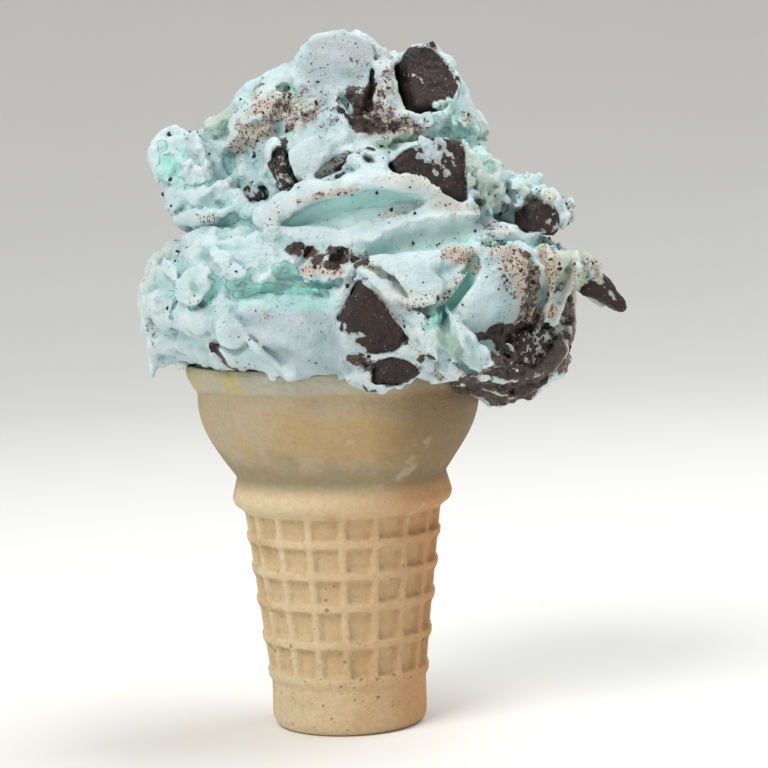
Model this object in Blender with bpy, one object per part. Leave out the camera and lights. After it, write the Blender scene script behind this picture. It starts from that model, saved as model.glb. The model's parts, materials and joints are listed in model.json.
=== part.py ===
"""Mint ice cream with broken chocolate cookies, heaped in a flat-bottomed wafer cup.

Two scoops sit on the cup's rim, the lower one filling the cup, and the larger pieces of
cookie stick out of them.  Sizes below are millimetres and become metres when a mesh is made.
The origin is the middle of the cup's flat foot, +Z is up and the front faces -Y.
"""

import math
import random

import bmesh
import bpy
from mathutils import Euler, Matrix, Vector

MM = 0.001
GAP = 0.3  # clear space between solids that touch

# Wafer cup
CUP_HEIGHT = 80.8
CUP_COLUMNS = 54  # three columns of points for each rib of the grid
INNER_COLUMNS = 30
FOOT_RADIUS = 17.2
FOOT_CURVE = ((0, -1.6), (0.8, -0.5), (2.4, 0))  # heights, and how far in from FOOT_RADIUS
FOOT_BAND_TOP = 10.6  # plain band under the grid
SHAFT_RADIUS = 17.4  # over the ribs, at the top of the plain band
SHAFT_SLOPE = 0.116  # how much wider the shaft gets for each unit of height
SHAFT_TOP = 48.2
SHAFT_EDGE = 0.2  # half height of the step between the shaft and the collar
SHAFT_STEP = 0.5  # how far that step comes out past the ribs
RIB_COUNT = 18
RIB_DEPTH = 0.9
RIB_HALF_ANGLE = 4.6  # degrees, at the bottom of the cells
RIB_HALF_HEIGHT = 1.3
RIB_ROWS = (12.0, 20.2, 28.5, 35.5, 42.5)
COLLAR_RADIUS = 24.3
COLLAR_HEIGHT = 51.2
COLLAR_ROUND = (1.6, 0.4)  # how far down and in the collar's edge starts to round
BOWL_BOTTOM = 55.8
BOWL_TOP = 72.8
BOWL_BOTTOM_RADIUS = 23.1
BOWL_TOP_RADIUS = 31.0
BOWL_STEPS = 5
INNER_BOWL_STEPS = 3
LIP_RADIUS = 33.5
LIP_CURVE = (  # heights, and how far in from LIP_RADIUS
    (75.1, -2.5), (75.6, -1.9), (77.9, -0.5), (79.9, 0), (CUP_HEIGHT, -0.6))
INNER_LIP_HEIGHT = 77.3
INNER_LIP_INSET = 0.6
WALL = 2.1
FLOOR = 2.5
FLOOR_CORNER = 1.5
FLOOR_CORNER_HEIGHT = 4.0  # where the inside's taper is measured from
HOLLOW_ABOVE = 5.0  # how far the cut that opens the cup runs past its rim
FILL_TOP = (87, 26)  # height and radius of the ice cream that fills the cup

# Ice cream
VOXEL = 1.5
SMOOTHING = 0.5
SMOOTHING_ROUNDS = 3
LOWER_TRIANGLES = 1850
UPPER_TRIANGLES = 1100
SKIRT_LUMPS = 16
SKIRT_RADIUS = 30.5
SKIRT_HEIGHT = 84.8
SKIRT_SEED = 4
SKIRT_SIZES = (6.0, 8.5)
SKIRT_LIFTS = (-0.8, 1.5)
SKIRT_FLATNESS = 0.62
LUMP_SEGMENTS = 24
LUMP_RINGS = 14
FOLD_STEPS = 6  # balls laid between two points of a fold

# Lumps of ice cream: centre, half sizes, and turn in degrees about X, Y and Z
LOWER_LUMPS = (
    ((4, 3, 96.3), (37, 35, 18), (0, 0, 0)),  # core
    ((4, 6, 85.3), (33, 29, 10), (0, 0, 0)),  # seat on the rim
    ((-17, -11, 95.3), (23, 25, 14), (0, 0, 0)),  # left belly
    ((-15, -16, 101.3), (20, 19, 9), (0, 8, 12)),  # left brow
    ((-32, -8, 97.3), (9.5, 17, 10), (0, 0, 0)),  # left fold
    ((-33, -6, 88.3), (8, 14, 7), (0, 0, 0)),  # left hem
    ((-8, -19, 88.3), (23, 19, 10), (0, 0, 0)),  # front belly
    ((3, -27, 83), (25, 10.5, 6.2), (0, 4, 0)),  # front hem
    ((8, -17, 107.3), (25, 14, 11), (0, 0, 0)),  # front crest
    ((12, -18, 97.3), (22, 20, 14), (0, 0, 0)),  # front middle
    ((27, -8, 94.3), (24, 28, 16), (0, 0, 0)),  # right flank
    ((36, -12, 98.3), (13, 20, 12), (0, -10, 0)),  # right flow
    ((30, -3, 80.3), (19, 26, 9), (0, 8, 0)),  # right hem
    ((42, -2, 85.3), (9, 19, 12), (0, 0, 0)),  # right edge
    ((-14, 15, 98.3), (24, 20, 14), (0, 0, 0)),  # back left
    ((6, 21, 92.3), (27, 18, 14), (0, 0, 0)),  # back middle
    ((26, 14, 96.3), (20, 21, 14), (0, 0, 0)),  # back right
    ((-20, 14, 87.3), (17, 19, 9), (0, 0, 0)),  # back left hem
)
UPPER_LUMPS = (
    ((7, 1, 123.3), (28, 27, 25), (0, 0, 0)),  # dome
    ((2.5, -7, 141.3), (9.5, 10, 10.4), (0, 0, 0)),  # knob on top
    ((17.5, -1, 136.8), (12, 13, 10.4), (0, 0, 0)),  # right shoulder
    ((-9, -3, 132), (15.5, 15, 11), (0, -35, 0)),  # left slope
    ((-2, -17, 125.3), (10, 8, 8), (0, 0, 0)),  # front facet
    ((24, -13, 119.3), (12, 12, 9), (0, 0, 0)),  # right front
    ((-27, -4, 121.3), (10, 12, 8), (0, 0, 0)),  # left lobe
    ((-31, -6, 125.8), (6.8, 8, 6), (0, 0, 0)),  # left lobe's end
    ((-22.5, -1, 129.3), (5.5, 7, 5), (0, 0, 0)),  # left lobe's back
    ((-22, -8, 114.3), (11.5, 12, 6), (0, 0, 0)),  # left hem
    ((38, -7, 114.3), (11, 12, 5.5), (0, 0, 0)),  # right hem
    ((45, -8, 111.8), (6.4, 9, 6), (0, 0, 0)),  # right lobe
    ((5, 10, 120.3), (26, 20, 20), (0, 0, 0)),  # back
)

# Folds and drips of ice cream: points along the middle, each with its own radius
LOWER_FOLDS = (
    # crest that laps up over the upper scoop
    ((-17, -20, 111.3, 2.5), (-7, -25, 115.3, 3.6), (4, -28, 117.3, 4.2), (15, -28, 117.8, 4.6),
     (25, -23, 115.3, 4.2), (31, -17, 111.3, 3.0)),
    # flow that runs right and then down
    ((8, -31, 106.3, 3.4), (22, -30, 107.3, 4.0), (35, -25, 105.3, 4.4), (43, -20, 98.3, 4.4),
     (45, -17, 89.3, 3.6)),
    # curled petal above the lower edge
    ((17, -37, 94.3, 2.4), (20, -39, 88.3, 3.0), (27, -38, 83.3, 3.2), (35, -34, 81.3, 2.6)),
    # drip on the left
    ((-37, -7, 89.3, 3.6), (-38.5, -7, 85.3, 2.4), (-39, -7, 81.8, 1.2)),
    # drip on the right
    ((33, -14, 77.3, 5.0), (35, -14, 72.3, 3.4), (35.5, -14, 68.3, 1.6)),
    # thin fold on the right that holds a cookie spike
    ((44, -5, 98.3, 4.6), (50, -5, 100.3, 3.4), (55, -5, 98.3, 2.8)),
    # crest round the back
    ((-30, 8, 105.3, 3.0), (-20, 21, 106.3, 3.8), (-4, 30, 107.3, 4.4), (14, 30, 106.3, 4.6),
     (29, 20, 105.3, 3.8)),
    # flow across the back
    ((-12, 35, 95.3, 3.2), (4, 38, 98.3, 4.0), (20, 34, 96.3, 4.4), (34, 25, 91.3, 4.4),
     (42, 12, 83.3, 3.6)),
)
UPPER_FOLDS = (
    # folds over the back of the dome
    ((-13, 12, 138.3, 3.2), (-2, 20, 140.3, 4.0), (12, 20, 139.3, 4.2), (25, 12, 136.3, 3.4)),
    ((-22, 6, 122.3, 3.4), (-12, 21, 124.3, 4.2), (6, 27, 123.3, 4.6), (22, 22, 120.3, 4.4),
     (33, 8, 117.3, 3.6)),
)

# Cookie pieces: centre, outline seen from the front, thickness, turn in degrees about X and Z
COOKIES = {
    "cookie_front": (
        (7, -33.5, 90.5),
        ((-1.2, 9.4), (4.1, 3.5), (8.8, -3), (5.7, -6), (-5.2, -6), (-6.2, -0.6), (-3.1, 5.6)),
        8, (8, 6)),
    "cookie_middle": (
        (21.4, -20, 121.4),
        ((-9.5, 1.1), (-5, 4.4), (2.2, 6), (7, 4.6), (6.7, -8), (-8.1, -2.2)),
        9, (-8, 18)),
    "cookie_top": (
        (20.5, -11.5, 138),
        ((-4.8, 7), (-2, 8.2), (1.2, 7.9), (4.3, 5), (6.4, 0.2), (5.6, -3.2), (2.6, -5.6), (-4.8, -5.8)),
        12, (-22, 24)),
    "cookie_knob": (
        (43.9, -15.5, 110),
        ((-3.4, 2.7), (1.3, 4), (3.7, 0.8), (2.7, -2.8), (-3.4, -2.6)),
        7, (0, 30)),
    "cookie_spike": (
        (58.2, -5, 93.6),
        ((-5.2, 4.6), (-0.4, 4.2), (2.6, 0.9), (5.2, -2.9), (4.6, -4.6), (1.4, -2.5), (-4.6, 0.3)),
        4, (0, 4)),
    "cookie_bottom": (
        (12.1, -35.8, 80.5),
        ((-4.2, 2.4), (1.4, 3.2), (5.8, 0.2), (1.5, -3), (-4.6, -2.6)),
        4.4, (0, 12)),
    "cookie_right": (
        (40.3, -21, 83.3),
        ((-5.3, 4.2), (3.5, 3.6), (6.9, -0.3), (1.1, -5.3), (-6.1, -2.3)),
        7, (6, 38)),
    "cookie_slab": (
        (-8.5, -20, 121.7),
        ((-2.4, 4.6), (-0.3, 5.2), (1, -0.5), (2.7, -2.9), (0.8, -4.7), (-1.7, -1.7)),
        8, (-6, -20)),
    "cookie_wedge": (
        (-15.2, -15.5, 117.8),
        ((-2.6, 0.8), (0.6, 2.4), (2.4, -0.6), (-0.4, -2.6)),
        6, (0, -30)),
    "cookie_sliver": (
        (9, -25, 123.3),
        ((-4, 1.7), (-0.4, 2.9), (2.9, 0.2), (1.7, -2.2), (-1.8, -1.1)),
        4.4, (-8, 8)),
}
COOKIE_BEVEL = 0.5
COOKIE_CLEARANCE = 0.5  # growth of the pocket that a cookie sits in


def clear_scene():
    """Remove every object, so that the script starts from nothing."""
    for thing in list(bpy.data.objects):
        bpy.data.objects.remove(thing, do_unlink=True)


def add_object(name, work):
    """Turn a bmesh in millimetres into an object in metres."""
    bmesh.ops.scale(work, vec=(MM, MM, MM), verts=work.verts)
    bmesh.ops.recalc_face_normals(work, faces=work.faces)
    mesh = bpy.data.meshes.new(name)
    work.to_mesh(mesh)
    work.free()
    thing = bpy.data.objects.new(name, mesh)
    bpy.context.scene.collection.objects.link(thing)
    return thing


def apply_modifiers(thing):
    """Replace an object's mesh with the mesh that its modifiers give."""
    graph = bpy.context.evaluated_depsgraph_get()
    mesh = bpy.data.meshes.new_from_object(thing.evaluated_get(graph))
    thing.modifiers.clear()
    thing.data = mesh
    return mesh


def make_cutter(thing):
    """Show a tool body as wire and keep it out of renders."""
    thing.hide_render = True
    thing.display_type = "WIRE"
    return thing


def boolean(thing, other, operation):
    """Combine two solids and leave the result on the first."""
    step = thing.modifiers.new(operation.title(), "BOOLEAN")
    step.operation = operation
    step.solver = "EXACT"
    step.object = other
    apply_modifiers(thing)


def principled(name, colour, roughness, coat=0.0):
    """Plain material with one colour."""
    material = bpy.data.materials.new(name)
    material.use_nodes = True
    shader = material.node_tree.nodes["Principled BSDF"]
    shader.inputs["Base Color"].default_value = (*colour, 1)
    shader.inputs["Roughness"].default_value = roughness
    shader.inputs["Metallic"].default_value = 0
    shader.inputs["Coat Weight"].default_value = coat
    return material


def wafer_material():
    return principled("baked wafer", (0.73, 0.53, 0.30), 0.72)


def mint_material():
    return principled("mint ice cream", (0.60, 0.84, 0.78), 0.42, 0.1)


def cookie_material():
    return principled("chocolate cookie", (0.045, 0.022, 0.018), 0.68)


def finish(thing, material):
    """Give a solid its material and smooth shading."""
    thing.data.materials.clear()
    thing.data.materials.append(material)
    for face in thing.data.polygons:
        face.use_smooth = True


# Wafer cup ------------------------------------------------------------------


def rib_radius(height):
    """Radius over the ribs at a height on the shaft."""
    return SHAFT_RADIUS + SHAFT_SLOPE * (height - FOOT_BAND_TOP)


def bowl_radius(height):
    """Radius of the round bowl between the collar and the lip."""
    along = (height - BOWL_BOTTOM) / (BOWL_TOP - BOWL_BOTTOM)
    rise = math.sin(math.pi / 2 * min(max(along, 0), 1))
    return BOWL_BOTTOM_RADIUS + (BOWL_TOP_RADIUS - BOWL_BOTTOM_RADIUS) * rise


def bowl_rings(steps, inset=0.0):
    """Heights and radii up the bowl, moved inwards by a wall."""
    rings = []
    for step in range(1, steps + 1):
        height = BOWL_BOTTOM + (BOWL_TOP - BOWL_BOTTOM) * step / steps
        rings.append((height, bowl_radius(height) - inset))
    return rings


def outer_rings():
    """Height, radius on the ribs and radius between them, from the foot to the rim."""
    rings = [(height, FOOT_RADIUS + inset, 0) for height, inset in FOOT_CURVE]
    rings.append((FOOT_BAND_TOP, FOOT_RADIUS, 0))
    for row in RIB_ROWS:
        if row != RIB_ROWS[0]:
            rings.append((row - RIB_HALF_HEIGHT, rib_radius(row - RIB_HALF_HEIGHT), RIB_DEPTH))
        rings.append((row, rib_radius(row), 0))
        rings.append((row + RIB_HALF_HEIGHT, rib_radius(row + RIB_HALF_HEIGHT), RIB_DEPTH))
    down, inwards = COLLAR_ROUND
    rings += [(SHAFT_TOP - SHAFT_EDGE, rib_radius(SHAFT_TOP), RIB_DEPTH),
              (SHAFT_TOP + SHAFT_EDGE, rib_radius(SHAFT_TOP) + SHAFT_STEP, 0),
              (COLLAR_HEIGHT - down, COLLAR_RADIUS - inwards, 0),
              (COLLAR_HEIGHT, COLLAR_RADIUS, 0),
              (BOWL_BOTTOM, BOWL_BOTTOM_RADIUS, 0)]
    rings += [(height, radius, 0) for height, radius in bowl_rings(BOWL_STEPS)]
    rings += [(height, LIP_RADIUS + inset, 0) for height, inset in LIP_CURVE]
    return rings


def inner_rings(inset=0.0):
    """Height and radius of the inside, from the floor to the rim."""
    shaft = rib_radius(FLOOR_CORNER_HEIGHT) - RIB_DEPTH - WALL - inset
    neck = rib_radius(SHAFT_TOP) - RIB_DEPTH - WALL - inset
    rings = [(FLOOR + inset, shaft - FLOOR_CORNER), (FLOOR + inset + FLOOR_CORNER, shaft),
             (SHAFT_TOP, neck), (BOWL_BOTTOM, BOWL_BOTTOM_RADIUS - WALL - inset)]
    rings += bowl_rings(INNER_BOWL_STEPS, WALL + inset)
    rings += [(INNER_LIP_HEIGHT, LIP_RADIUS - WALL - INNER_LIP_INSET - inset),
              (CUP_HEIGHT, LIP_RADIUS - WALL - inset)]
    return rings


def stack_rings(loops):
    """Close a stack of equal rings of points into one solid."""
    work = bmesh.new()
    rows = [[work.verts.new(point) for point in loop] for loop in loops]
    count = len(rows[0])
    for low, high in zip(rows, rows[1:]):
        for place in range(count):
            after = (place + 1) % count
            work.faces.new((low[place], low[after], high[after], high[place]))
    work.faces.new(list(reversed(rows[0])))
    work.faces.new(rows[-1])
    return work


def turned(rings, columns):
    """A plain round solid from heights and radii."""
    loops = []
    for height, radius in rings:
        angles = [2 * math.pi * place / columns for place in range(columns)]
        loops.append([(radius * math.sin(a), -radius * math.cos(a), height) for a in angles])
    return stack_rings(loops)


def ribbed_body():
    """The outside of the cup, with the grid of ribs round its shaft."""
    pitch = 2 * math.pi / RIB_COUNT
    flank = math.radians(RIB_HALF_ANGLE)
    loops = []
    for height, on_rib, depth in outer_rings():
        loop = []
        for rib in range(RIB_COUNT):
            middle = rib * pitch
            columns = ((middle, on_rib), (middle + flank, on_rib - depth),
                       (middle + pitch - flank, on_rib - depth))
            for angle, radius in columns:
                loop.append((radius * math.sin(angle), -radius * math.cos(angle), height))
        loops.append(loop)
    return stack_rings(loops)


def build_cup():
    """Wafer cup: grid shaft, collar, round bowl and flared lip, open at the top."""
    cup = add_object("wafer_cup", ribbed_body())
    above = inner_rings() + [(CUP_HEIGHT + HOLLOW_ABOVE, LIP_RADIUS - WALL)]
    hollow = make_cutter(add_object("cup_hollow", turned(above, INNER_COLUMNS)))
    boolean(cup, hollow, "DIFFERENCE")
    bpy.data.objects.remove(hollow)
    finish(cup, wafer_material())
    return cup


def cup_clearance():
    """The cup's body grown by the gap, which keeps the ice cream off its wall."""
    rings = [(height, radius + GAP) for height, radius, _ in outer_rings() if height > SHAFT_TOP]
    return rings + [(CUP_HEIGHT + GAP, LIP_RADIUS - GAP)]


# Ice cream ------------------------------------------------------------------


def add_lump(work, centre, half_sizes, turn):
    """One rounded lump."""
    angles = Euler([math.radians(angle) for angle in turn])
    place = Matrix.LocRotScale(Vector(centre), angles, Vector(half_sizes))
    bmesh.ops.create_uvsphere(work, u_segments=LUMP_SEGMENTS, v_segments=LUMP_RINGS, radius=1,
                              matrix=place)


def add_fold(work, points):
    """A rounded rope of balls along a smooth path, thicker or thinner as it goes."""
    for first, second in zip(points, points[1:]):
        for step in range(FOLD_STEPS + 1):
            share = step / FOLD_STEPS
            x, y, z, radius = [a + (b - a) * share for a, b in zip(first, second)]
            bmesh.ops.create_icosphere(work, subdivisions=2, radius=radius,
                                       matrix=Matrix.Translation((x, y, z)))


def add_skirt(work):
    """Uneven lumps where the lower scoop is pressed down round the rim."""
    chance = random.Random(SKIRT_SEED)
    for place in range(SKIRT_LUMPS):
        angle = 2 * math.pi * place / SKIRT_LUMPS
        size = chance.uniform(*SKIRT_SIZES)
        centre = (SKIRT_RADIUS * math.sin(angle), -SKIRT_RADIUS * math.cos(angle),
                  SKIRT_HEIGHT + chance.uniform(*SKIRT_LIFTS))
        add_lump(work, centre, (size, size, size * SKIRT_FLATNESS), (0, 0, 0))


def melt(name, work, triangles):
    """Fuse overlapping lumps into one skin, soften it and thin it out."""
    heap = add_object(name, work)
    fuse = heap.modifiers.new("Fuse", "REMESH")
    fuse.mode = "VOXEL"
    fuse.voxel_size = VOXEL * MM
    soften = heap.modifiers.new("Soften", "SMOOTH")
    soften.factor = SMOOTHING
    soften.iterations = SMOOTHING_ROUNDS
    skin = apply_modifiers(heap)
    thin = heap.modifiers.new("Thin", "DECIMATE")
    thin.ratio = triangles / (2 * len(skin.polygons))
    apply_modifiers(heap)
    return heap


def build_upper_scoop():
    work = bmesh.new()
    for lump in UPPER_LUMPS:
        add_lump(work, *lump)
    for fold in UPPER_FOLDS:
        add_fold(work, fold)
    return melt("scoop_upper", work, UPPER_TRIANGLES)


def build_lower_scoop():
    work = bmesh.new()
    for lump in LOWER_LUMPS:
        add_lump(work, *lump)
    for fold in LOWER_FOLDS:
        add_fold(work, fold)
    add_skirt(work)
    return melt("scoop_lower", work, LOWER_TRIANGLES)


def grown(thing):
    """A copy of a scoop pushed outwards by the gap."""
    copy = make_cutter(thing.copy())
    copy.data = thing.data.copy()
    bpy.context.scene.collection.objects.link(copy)
    for point in copy.data.vertices:
        point.co += point.normal * GAP * MM
    return copy


# Cookies --------------------------------------------------------------------


def cookie_solid(name, grow=0.0):
    """A broken piece of cookie: its outline given a thickness, with worn edges."""
    centre, outline, thickness, (tip, turn) = COOKIES[name]
    work = bmesh.new()
    reach = [1 + grow / max(math.hypot(x, z), 1) for x, z in outline]
    points = [(x * more, -thickness / 2 - grow, z * more) for (x, z), more in zip(outline, reach)]
    front = work.faces.new([work.verts.new(point) for point in points])
    back = bmesh.ops.extrude_face_region(work, geom=[front])
    corners = [item for item in back["geom"] if isinstance(item, bmesh.types.BMVert)]
    bmesh.ops.translate(work, vec=(0, thickness + 2 * grow, 0), verts=corners)
    bmesh.ops.recalc_face_normals(work, faces=work.faces)
    bmesh.ops.bevel(work, geom=work.edges, offset=COOKIE_BEVEL, segments=1, affect="EDGES")
    lean = Matrix.Rotation(math.radians(turn), 4, "Z") @ Matrix.Rotation(math.radians(tip), 4, "X")
    bmesh.ops.transform(work, matrix=Matrix.Translation(centre) @ lean, verts=work.verts)
    return add_object(name, work)


def main():
    clear_scene()
    build_cup()
    upper = build_upper_scoop()
    lower = build_lower_scoop()

    mask = grown(upper)
    boolean(lower, mask, "DIFFERENCE")
    bpy.data.objects.remove(mask)

    hold = make_cutter(add_object("cup_place", turned(cup_clearance(), CUP_COLUMNS)))
    boolean(lower, hold, "DIFFERENCE")
    bpy.data.objects.remove(hold)

    fill = make_cutter(add_object("cup_fill", turned(inner_rings(GAP) + [FILL_TOP], INNER_COLUMNS)))
    boolean(lower, fill, "UNION")
    bpy.data.objects.remove(fill)

    chocolate = cookie_material()
    for name in COOKIES:
        cookie = cookie_solid(name)
        pocket = make_cutter(cookie_solid(name, COOKIE_CLEARANCE))
        for scoop in (lower, upper):
            boolean(scoop, pocket, "DIFFERENCE")
        bpy.data.objects.remove(pocket)
        finish(cookie, chocolate)

    mint = mint_material()
    finish(lower, mint)
    finish(upper, mint)


main()
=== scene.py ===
"""Looks for the mint ice cream in a wafer cup: the ragged ice cream, the cookies, the wafer and the stage.

Modelling is done in millimetres; a mesh becomes metres when it is made.
"""

import json
import math
from functools import lru_cache

import bmesh
import bpy
import numpy as np
from mathutils import Euler, Matrix, Vector
from mathutils.bvhtree import BVHTree

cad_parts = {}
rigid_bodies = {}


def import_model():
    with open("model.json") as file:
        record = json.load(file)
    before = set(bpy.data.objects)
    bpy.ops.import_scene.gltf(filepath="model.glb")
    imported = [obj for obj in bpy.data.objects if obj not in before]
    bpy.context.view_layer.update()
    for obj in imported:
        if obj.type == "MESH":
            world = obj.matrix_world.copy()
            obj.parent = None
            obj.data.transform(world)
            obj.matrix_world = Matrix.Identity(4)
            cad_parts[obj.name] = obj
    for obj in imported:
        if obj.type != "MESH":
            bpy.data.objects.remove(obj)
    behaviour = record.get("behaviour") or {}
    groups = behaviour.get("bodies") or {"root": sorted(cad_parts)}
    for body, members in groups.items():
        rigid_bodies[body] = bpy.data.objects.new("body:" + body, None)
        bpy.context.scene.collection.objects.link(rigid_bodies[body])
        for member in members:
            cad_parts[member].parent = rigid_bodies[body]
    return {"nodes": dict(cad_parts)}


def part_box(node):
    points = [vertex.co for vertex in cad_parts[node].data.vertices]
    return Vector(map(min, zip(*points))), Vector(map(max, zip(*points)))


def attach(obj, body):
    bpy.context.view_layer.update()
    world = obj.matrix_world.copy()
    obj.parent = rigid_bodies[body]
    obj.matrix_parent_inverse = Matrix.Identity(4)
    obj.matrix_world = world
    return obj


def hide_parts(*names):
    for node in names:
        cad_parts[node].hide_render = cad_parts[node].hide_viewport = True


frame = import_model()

bl_info = {
    "name": "Mint Cone Looks",
    "version": (1, 0, 0),
    "blender": (4, 5, 0),
    "location": "3D View > Sidebar > Mint Cone",
    "description": "Models the ice cream, cookies and wafer cup over their solids, and a small studio",
    "category": "Object",
}

MM = 0.001
FAR = 50.0
SIDES = {                       # axis across, axis up, axis looked along, and which way in
    "front": (0, 2, 1, 1),
    "back": (0, 2, 1, -1),
    "left": (1, 2, 0, 1),
    "right": (1, 2, 0, -1),
    "top": (0, 1, 2, -1),
}
COOKIES = [name for name in sorted(frame["nodes"]) if name.startswith("cookie")]


# Clay -----------------------------------------------------------------------


class Clay:
    """A block of space that holds the distance to the skin of what is modelled in it."""

    def __init__(self, low, high, step):
        self.step = step
        self.low = np.array(low, dtype=np.float32)
        counts = [int((h - l) / step) + 2 for l, h in zip(low, high)]
        self.axes = [l + step * np.arange(n, dtype=np.float32) for l, n in zip(self.low, counts)]
        self.field = np.full(counts, FAR, dtype=np.float32)

    @classmethod
    def on(cls, axes, step, field):
        """A block that holds a given field on given axes."""
        clay = cls.__new__(cls)
        clay.step, clay.axes, clay.field = step, axes, field
        clay.low = np.array([axis[0] for axis in axes])
        return clay

    def part(self, low, high):
        """The slices and coordinates of the part of the block between two corners."""
        spans = []
        for axis, l, h in zip(self.axes, low, high):
            first = int(np.clip((l - axis[0]) / self.step, 0, len(axis) - 1))
            last = int(np.clip((h - axis[0]) / self.step + 2, first + 1, len(axis)))
            spans.append(slice(first, last))
        x, y, z = [axis[span] for axis, span in zip(self.axes, spans)]
        return tuple(spans), x[:, None, None], y[None, :, None], z[None, None, :]

    def join(self, spans, distance, blend):
        """Add a shape, with its edge blended into what is there."""
        old = self.field[spans]
        if blend > 0:
            near = np.maximum(blend - np.abs(old - distance), 0) / blend
            distance = np.minimum(old, distance) - near * near * blend / 4
        self.field[spans] = np.minimum(old, distance)

    def cut(self, spans, distance, blend):
        """Take a shape away, with the edge of the cut rounded."""
        old = self.field[spans]
        lost = -distance
        near = np.maximum(blend - np.abs(old - lost), 0) / blend if blend > 0 else 0
        self.field[spans] = np.maximum(old, lost) + near * near * blend / 4

    def sample(self, points):
        """The field at any points, by straight lines between the grid's values."""
        place = (points - self.low) / self.step
        top = np.array(self.field.shape) - 2
        base = np.clip(np.floor(place).astype(int), 0, top)
        share = np.clip(place - base, 0, 1)
        total = np.zeros(len(points), dtype=np.float32)
        for i in (0, 1):
            for j in (0, 1):
                for k in (0, 1):
                    weight = (np.abs(1 - i - share[:, 0]) * np.abs(1 - j - share[:, 1])
                              * np.abs(1 - k - share[:, 2]))
                    total += weight * self.field[base[:, 0] + i, base[:, 1] + j, base[:, 2] + k]
        return total

    def normals(self, points):
        """Outward directions of the skin near some points."""
        reach = 1.2
        parts = []
        for axis in range(3):
            move = np.zeros(3, dtype=np.float32)
            move[axis] = reach
            parts.append(self.sample(points + move) - self.sample(points - move))
        slope = np.stack(parts, axis=1)
        return slope / np.maximum(np.linalg.norm(slope, axis=1, keepdims=True), 1e-6)


def ellipsoid_distance(x, y, z, turn, radii):
    """Distance to an ellipsoid, near enough, from points about its centre."""
    local = [turn[k][0] * x + turn[k][1] * y + turn[k][2] * z for k in range(3)]
    k0 = np.sqrt(sum((v / r) ** 2 for v, r in zip(local, radii)))
    k1 = np.sqrt(sum((v / (r * r)) ** 2 for v, r in zip(local, radii)))
    return k0 * (k0 - 1) / np.maximum(k1, 1e-6)


def add_lump(clay, centre, radii, turn, blend, carve):
    """Add one rounded lump, or press a dent of that shape."""
    rows = Euler([math.radians(a) for a in turn]).to_matrix().transposed()
    reach = max(radii) + blend + 2
    low = [c - reach for c in centre]
    high = [c + reach for c in centre]
    spans, x, y, z = clay.part(low, high)
    distance = ellipsoid_distance(x - centre[0], y - centre[1], z - centre[2], rows, radii)
    if carve:
        clay.cut(spans, distance, blend)
    else:
        clay.join(spans, distance, blend)


def smooth_path(points, spacing):
    """A smooth line through given points, cut into even steps."""
    points = np.array(points, dtype=np.float32)
    ends = np.vstack([2 * points[0] - points[1], points, 2 * points[-1] - points[-2]])
    pieces = []
    for a, b, c, d in zip(ends, ends[1:], ends[2:], ends[3:]):
        count = max(2, int(np.linalg.norm((c - b)[:2]) / spacing) + 1)
        t = (np.arange(count) / count)[:, None]
        pieces.append(0.5 * (2 * b + (c - a) * t + (2 * a - 5 * b + 4 * c - d) * t ** 2
                             + (3 * b - a - 3 * c + d) * t ** 3))
    pieces.append(points[-1:])
    return np.vstack(pieces).astype(np.float32)


def depth_at(clay, side, a, b):
    """How deep the skin lies at a place seen from one side."""
    across, up, depth, way = SIDES[side]
    index = [slice(None)] * 3
    for axis, value in ((across, a), (up, b)):
        index[axis] = int(np.clip(round((value - clay.low[axis]) / clay.step), 0,
                                  len(clay.axes[axis]) - 1))
    solid = np.nonzero(clay.field[tuple(index)] < 0)[0]
    if not len(solid):
        return math.nan
    return float(clay.axes[depth][solid[0] if way > 0 else solid[-1]])


def lay_on_skin(clay, side, flat, alone=False):
    """Turn places seen from one side into points on the skin, and give the skin's directions.

    Places on a line share their depths a little, so that it runs smoothly; places alone don't.
    """
    across, up, depth, _ = SIDES[side]
    found = np.array([depth_at(clay, side, a, b) for a, b in flat[:, :2]], dtype=np.float32)
    known = ~np.isnan(found)
    if not known.any() and not alone:
        turns = np.arange(24) * 0.9
        near = [depth_at(clay, side, flat[0, 0] + 0.3 * k * math.cos(k), flat[0, 1]
                         + 0.3 * k * math.sin(k)) for k in turns]
        found[0] = next((value for value in near if not math.isnan(value)), math.nan)
        known[0] = not math.isnan(found[0])
    if not known.any() and not alone:
        raise ValueError(f"no skin near a line drawn on the {side}")
    if not alone:
        numbers = np.arange(len(flat))
        found = np.interp(numbers, numbers[known], found[known])
        padded = np.pad(found, 2, mode="edge")
        found = np.convolve(padded, np.ones(5) / 5, mode="valid")
    points = np.zeros((len(flat), 3), dtype=np.float32)
    points[:, across] = flat[:, 0]
    points[:, up] = flat[:, 1]
    points[:, depth] = found
    return points, clay.normals(np.nan_to_num(points))


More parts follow.
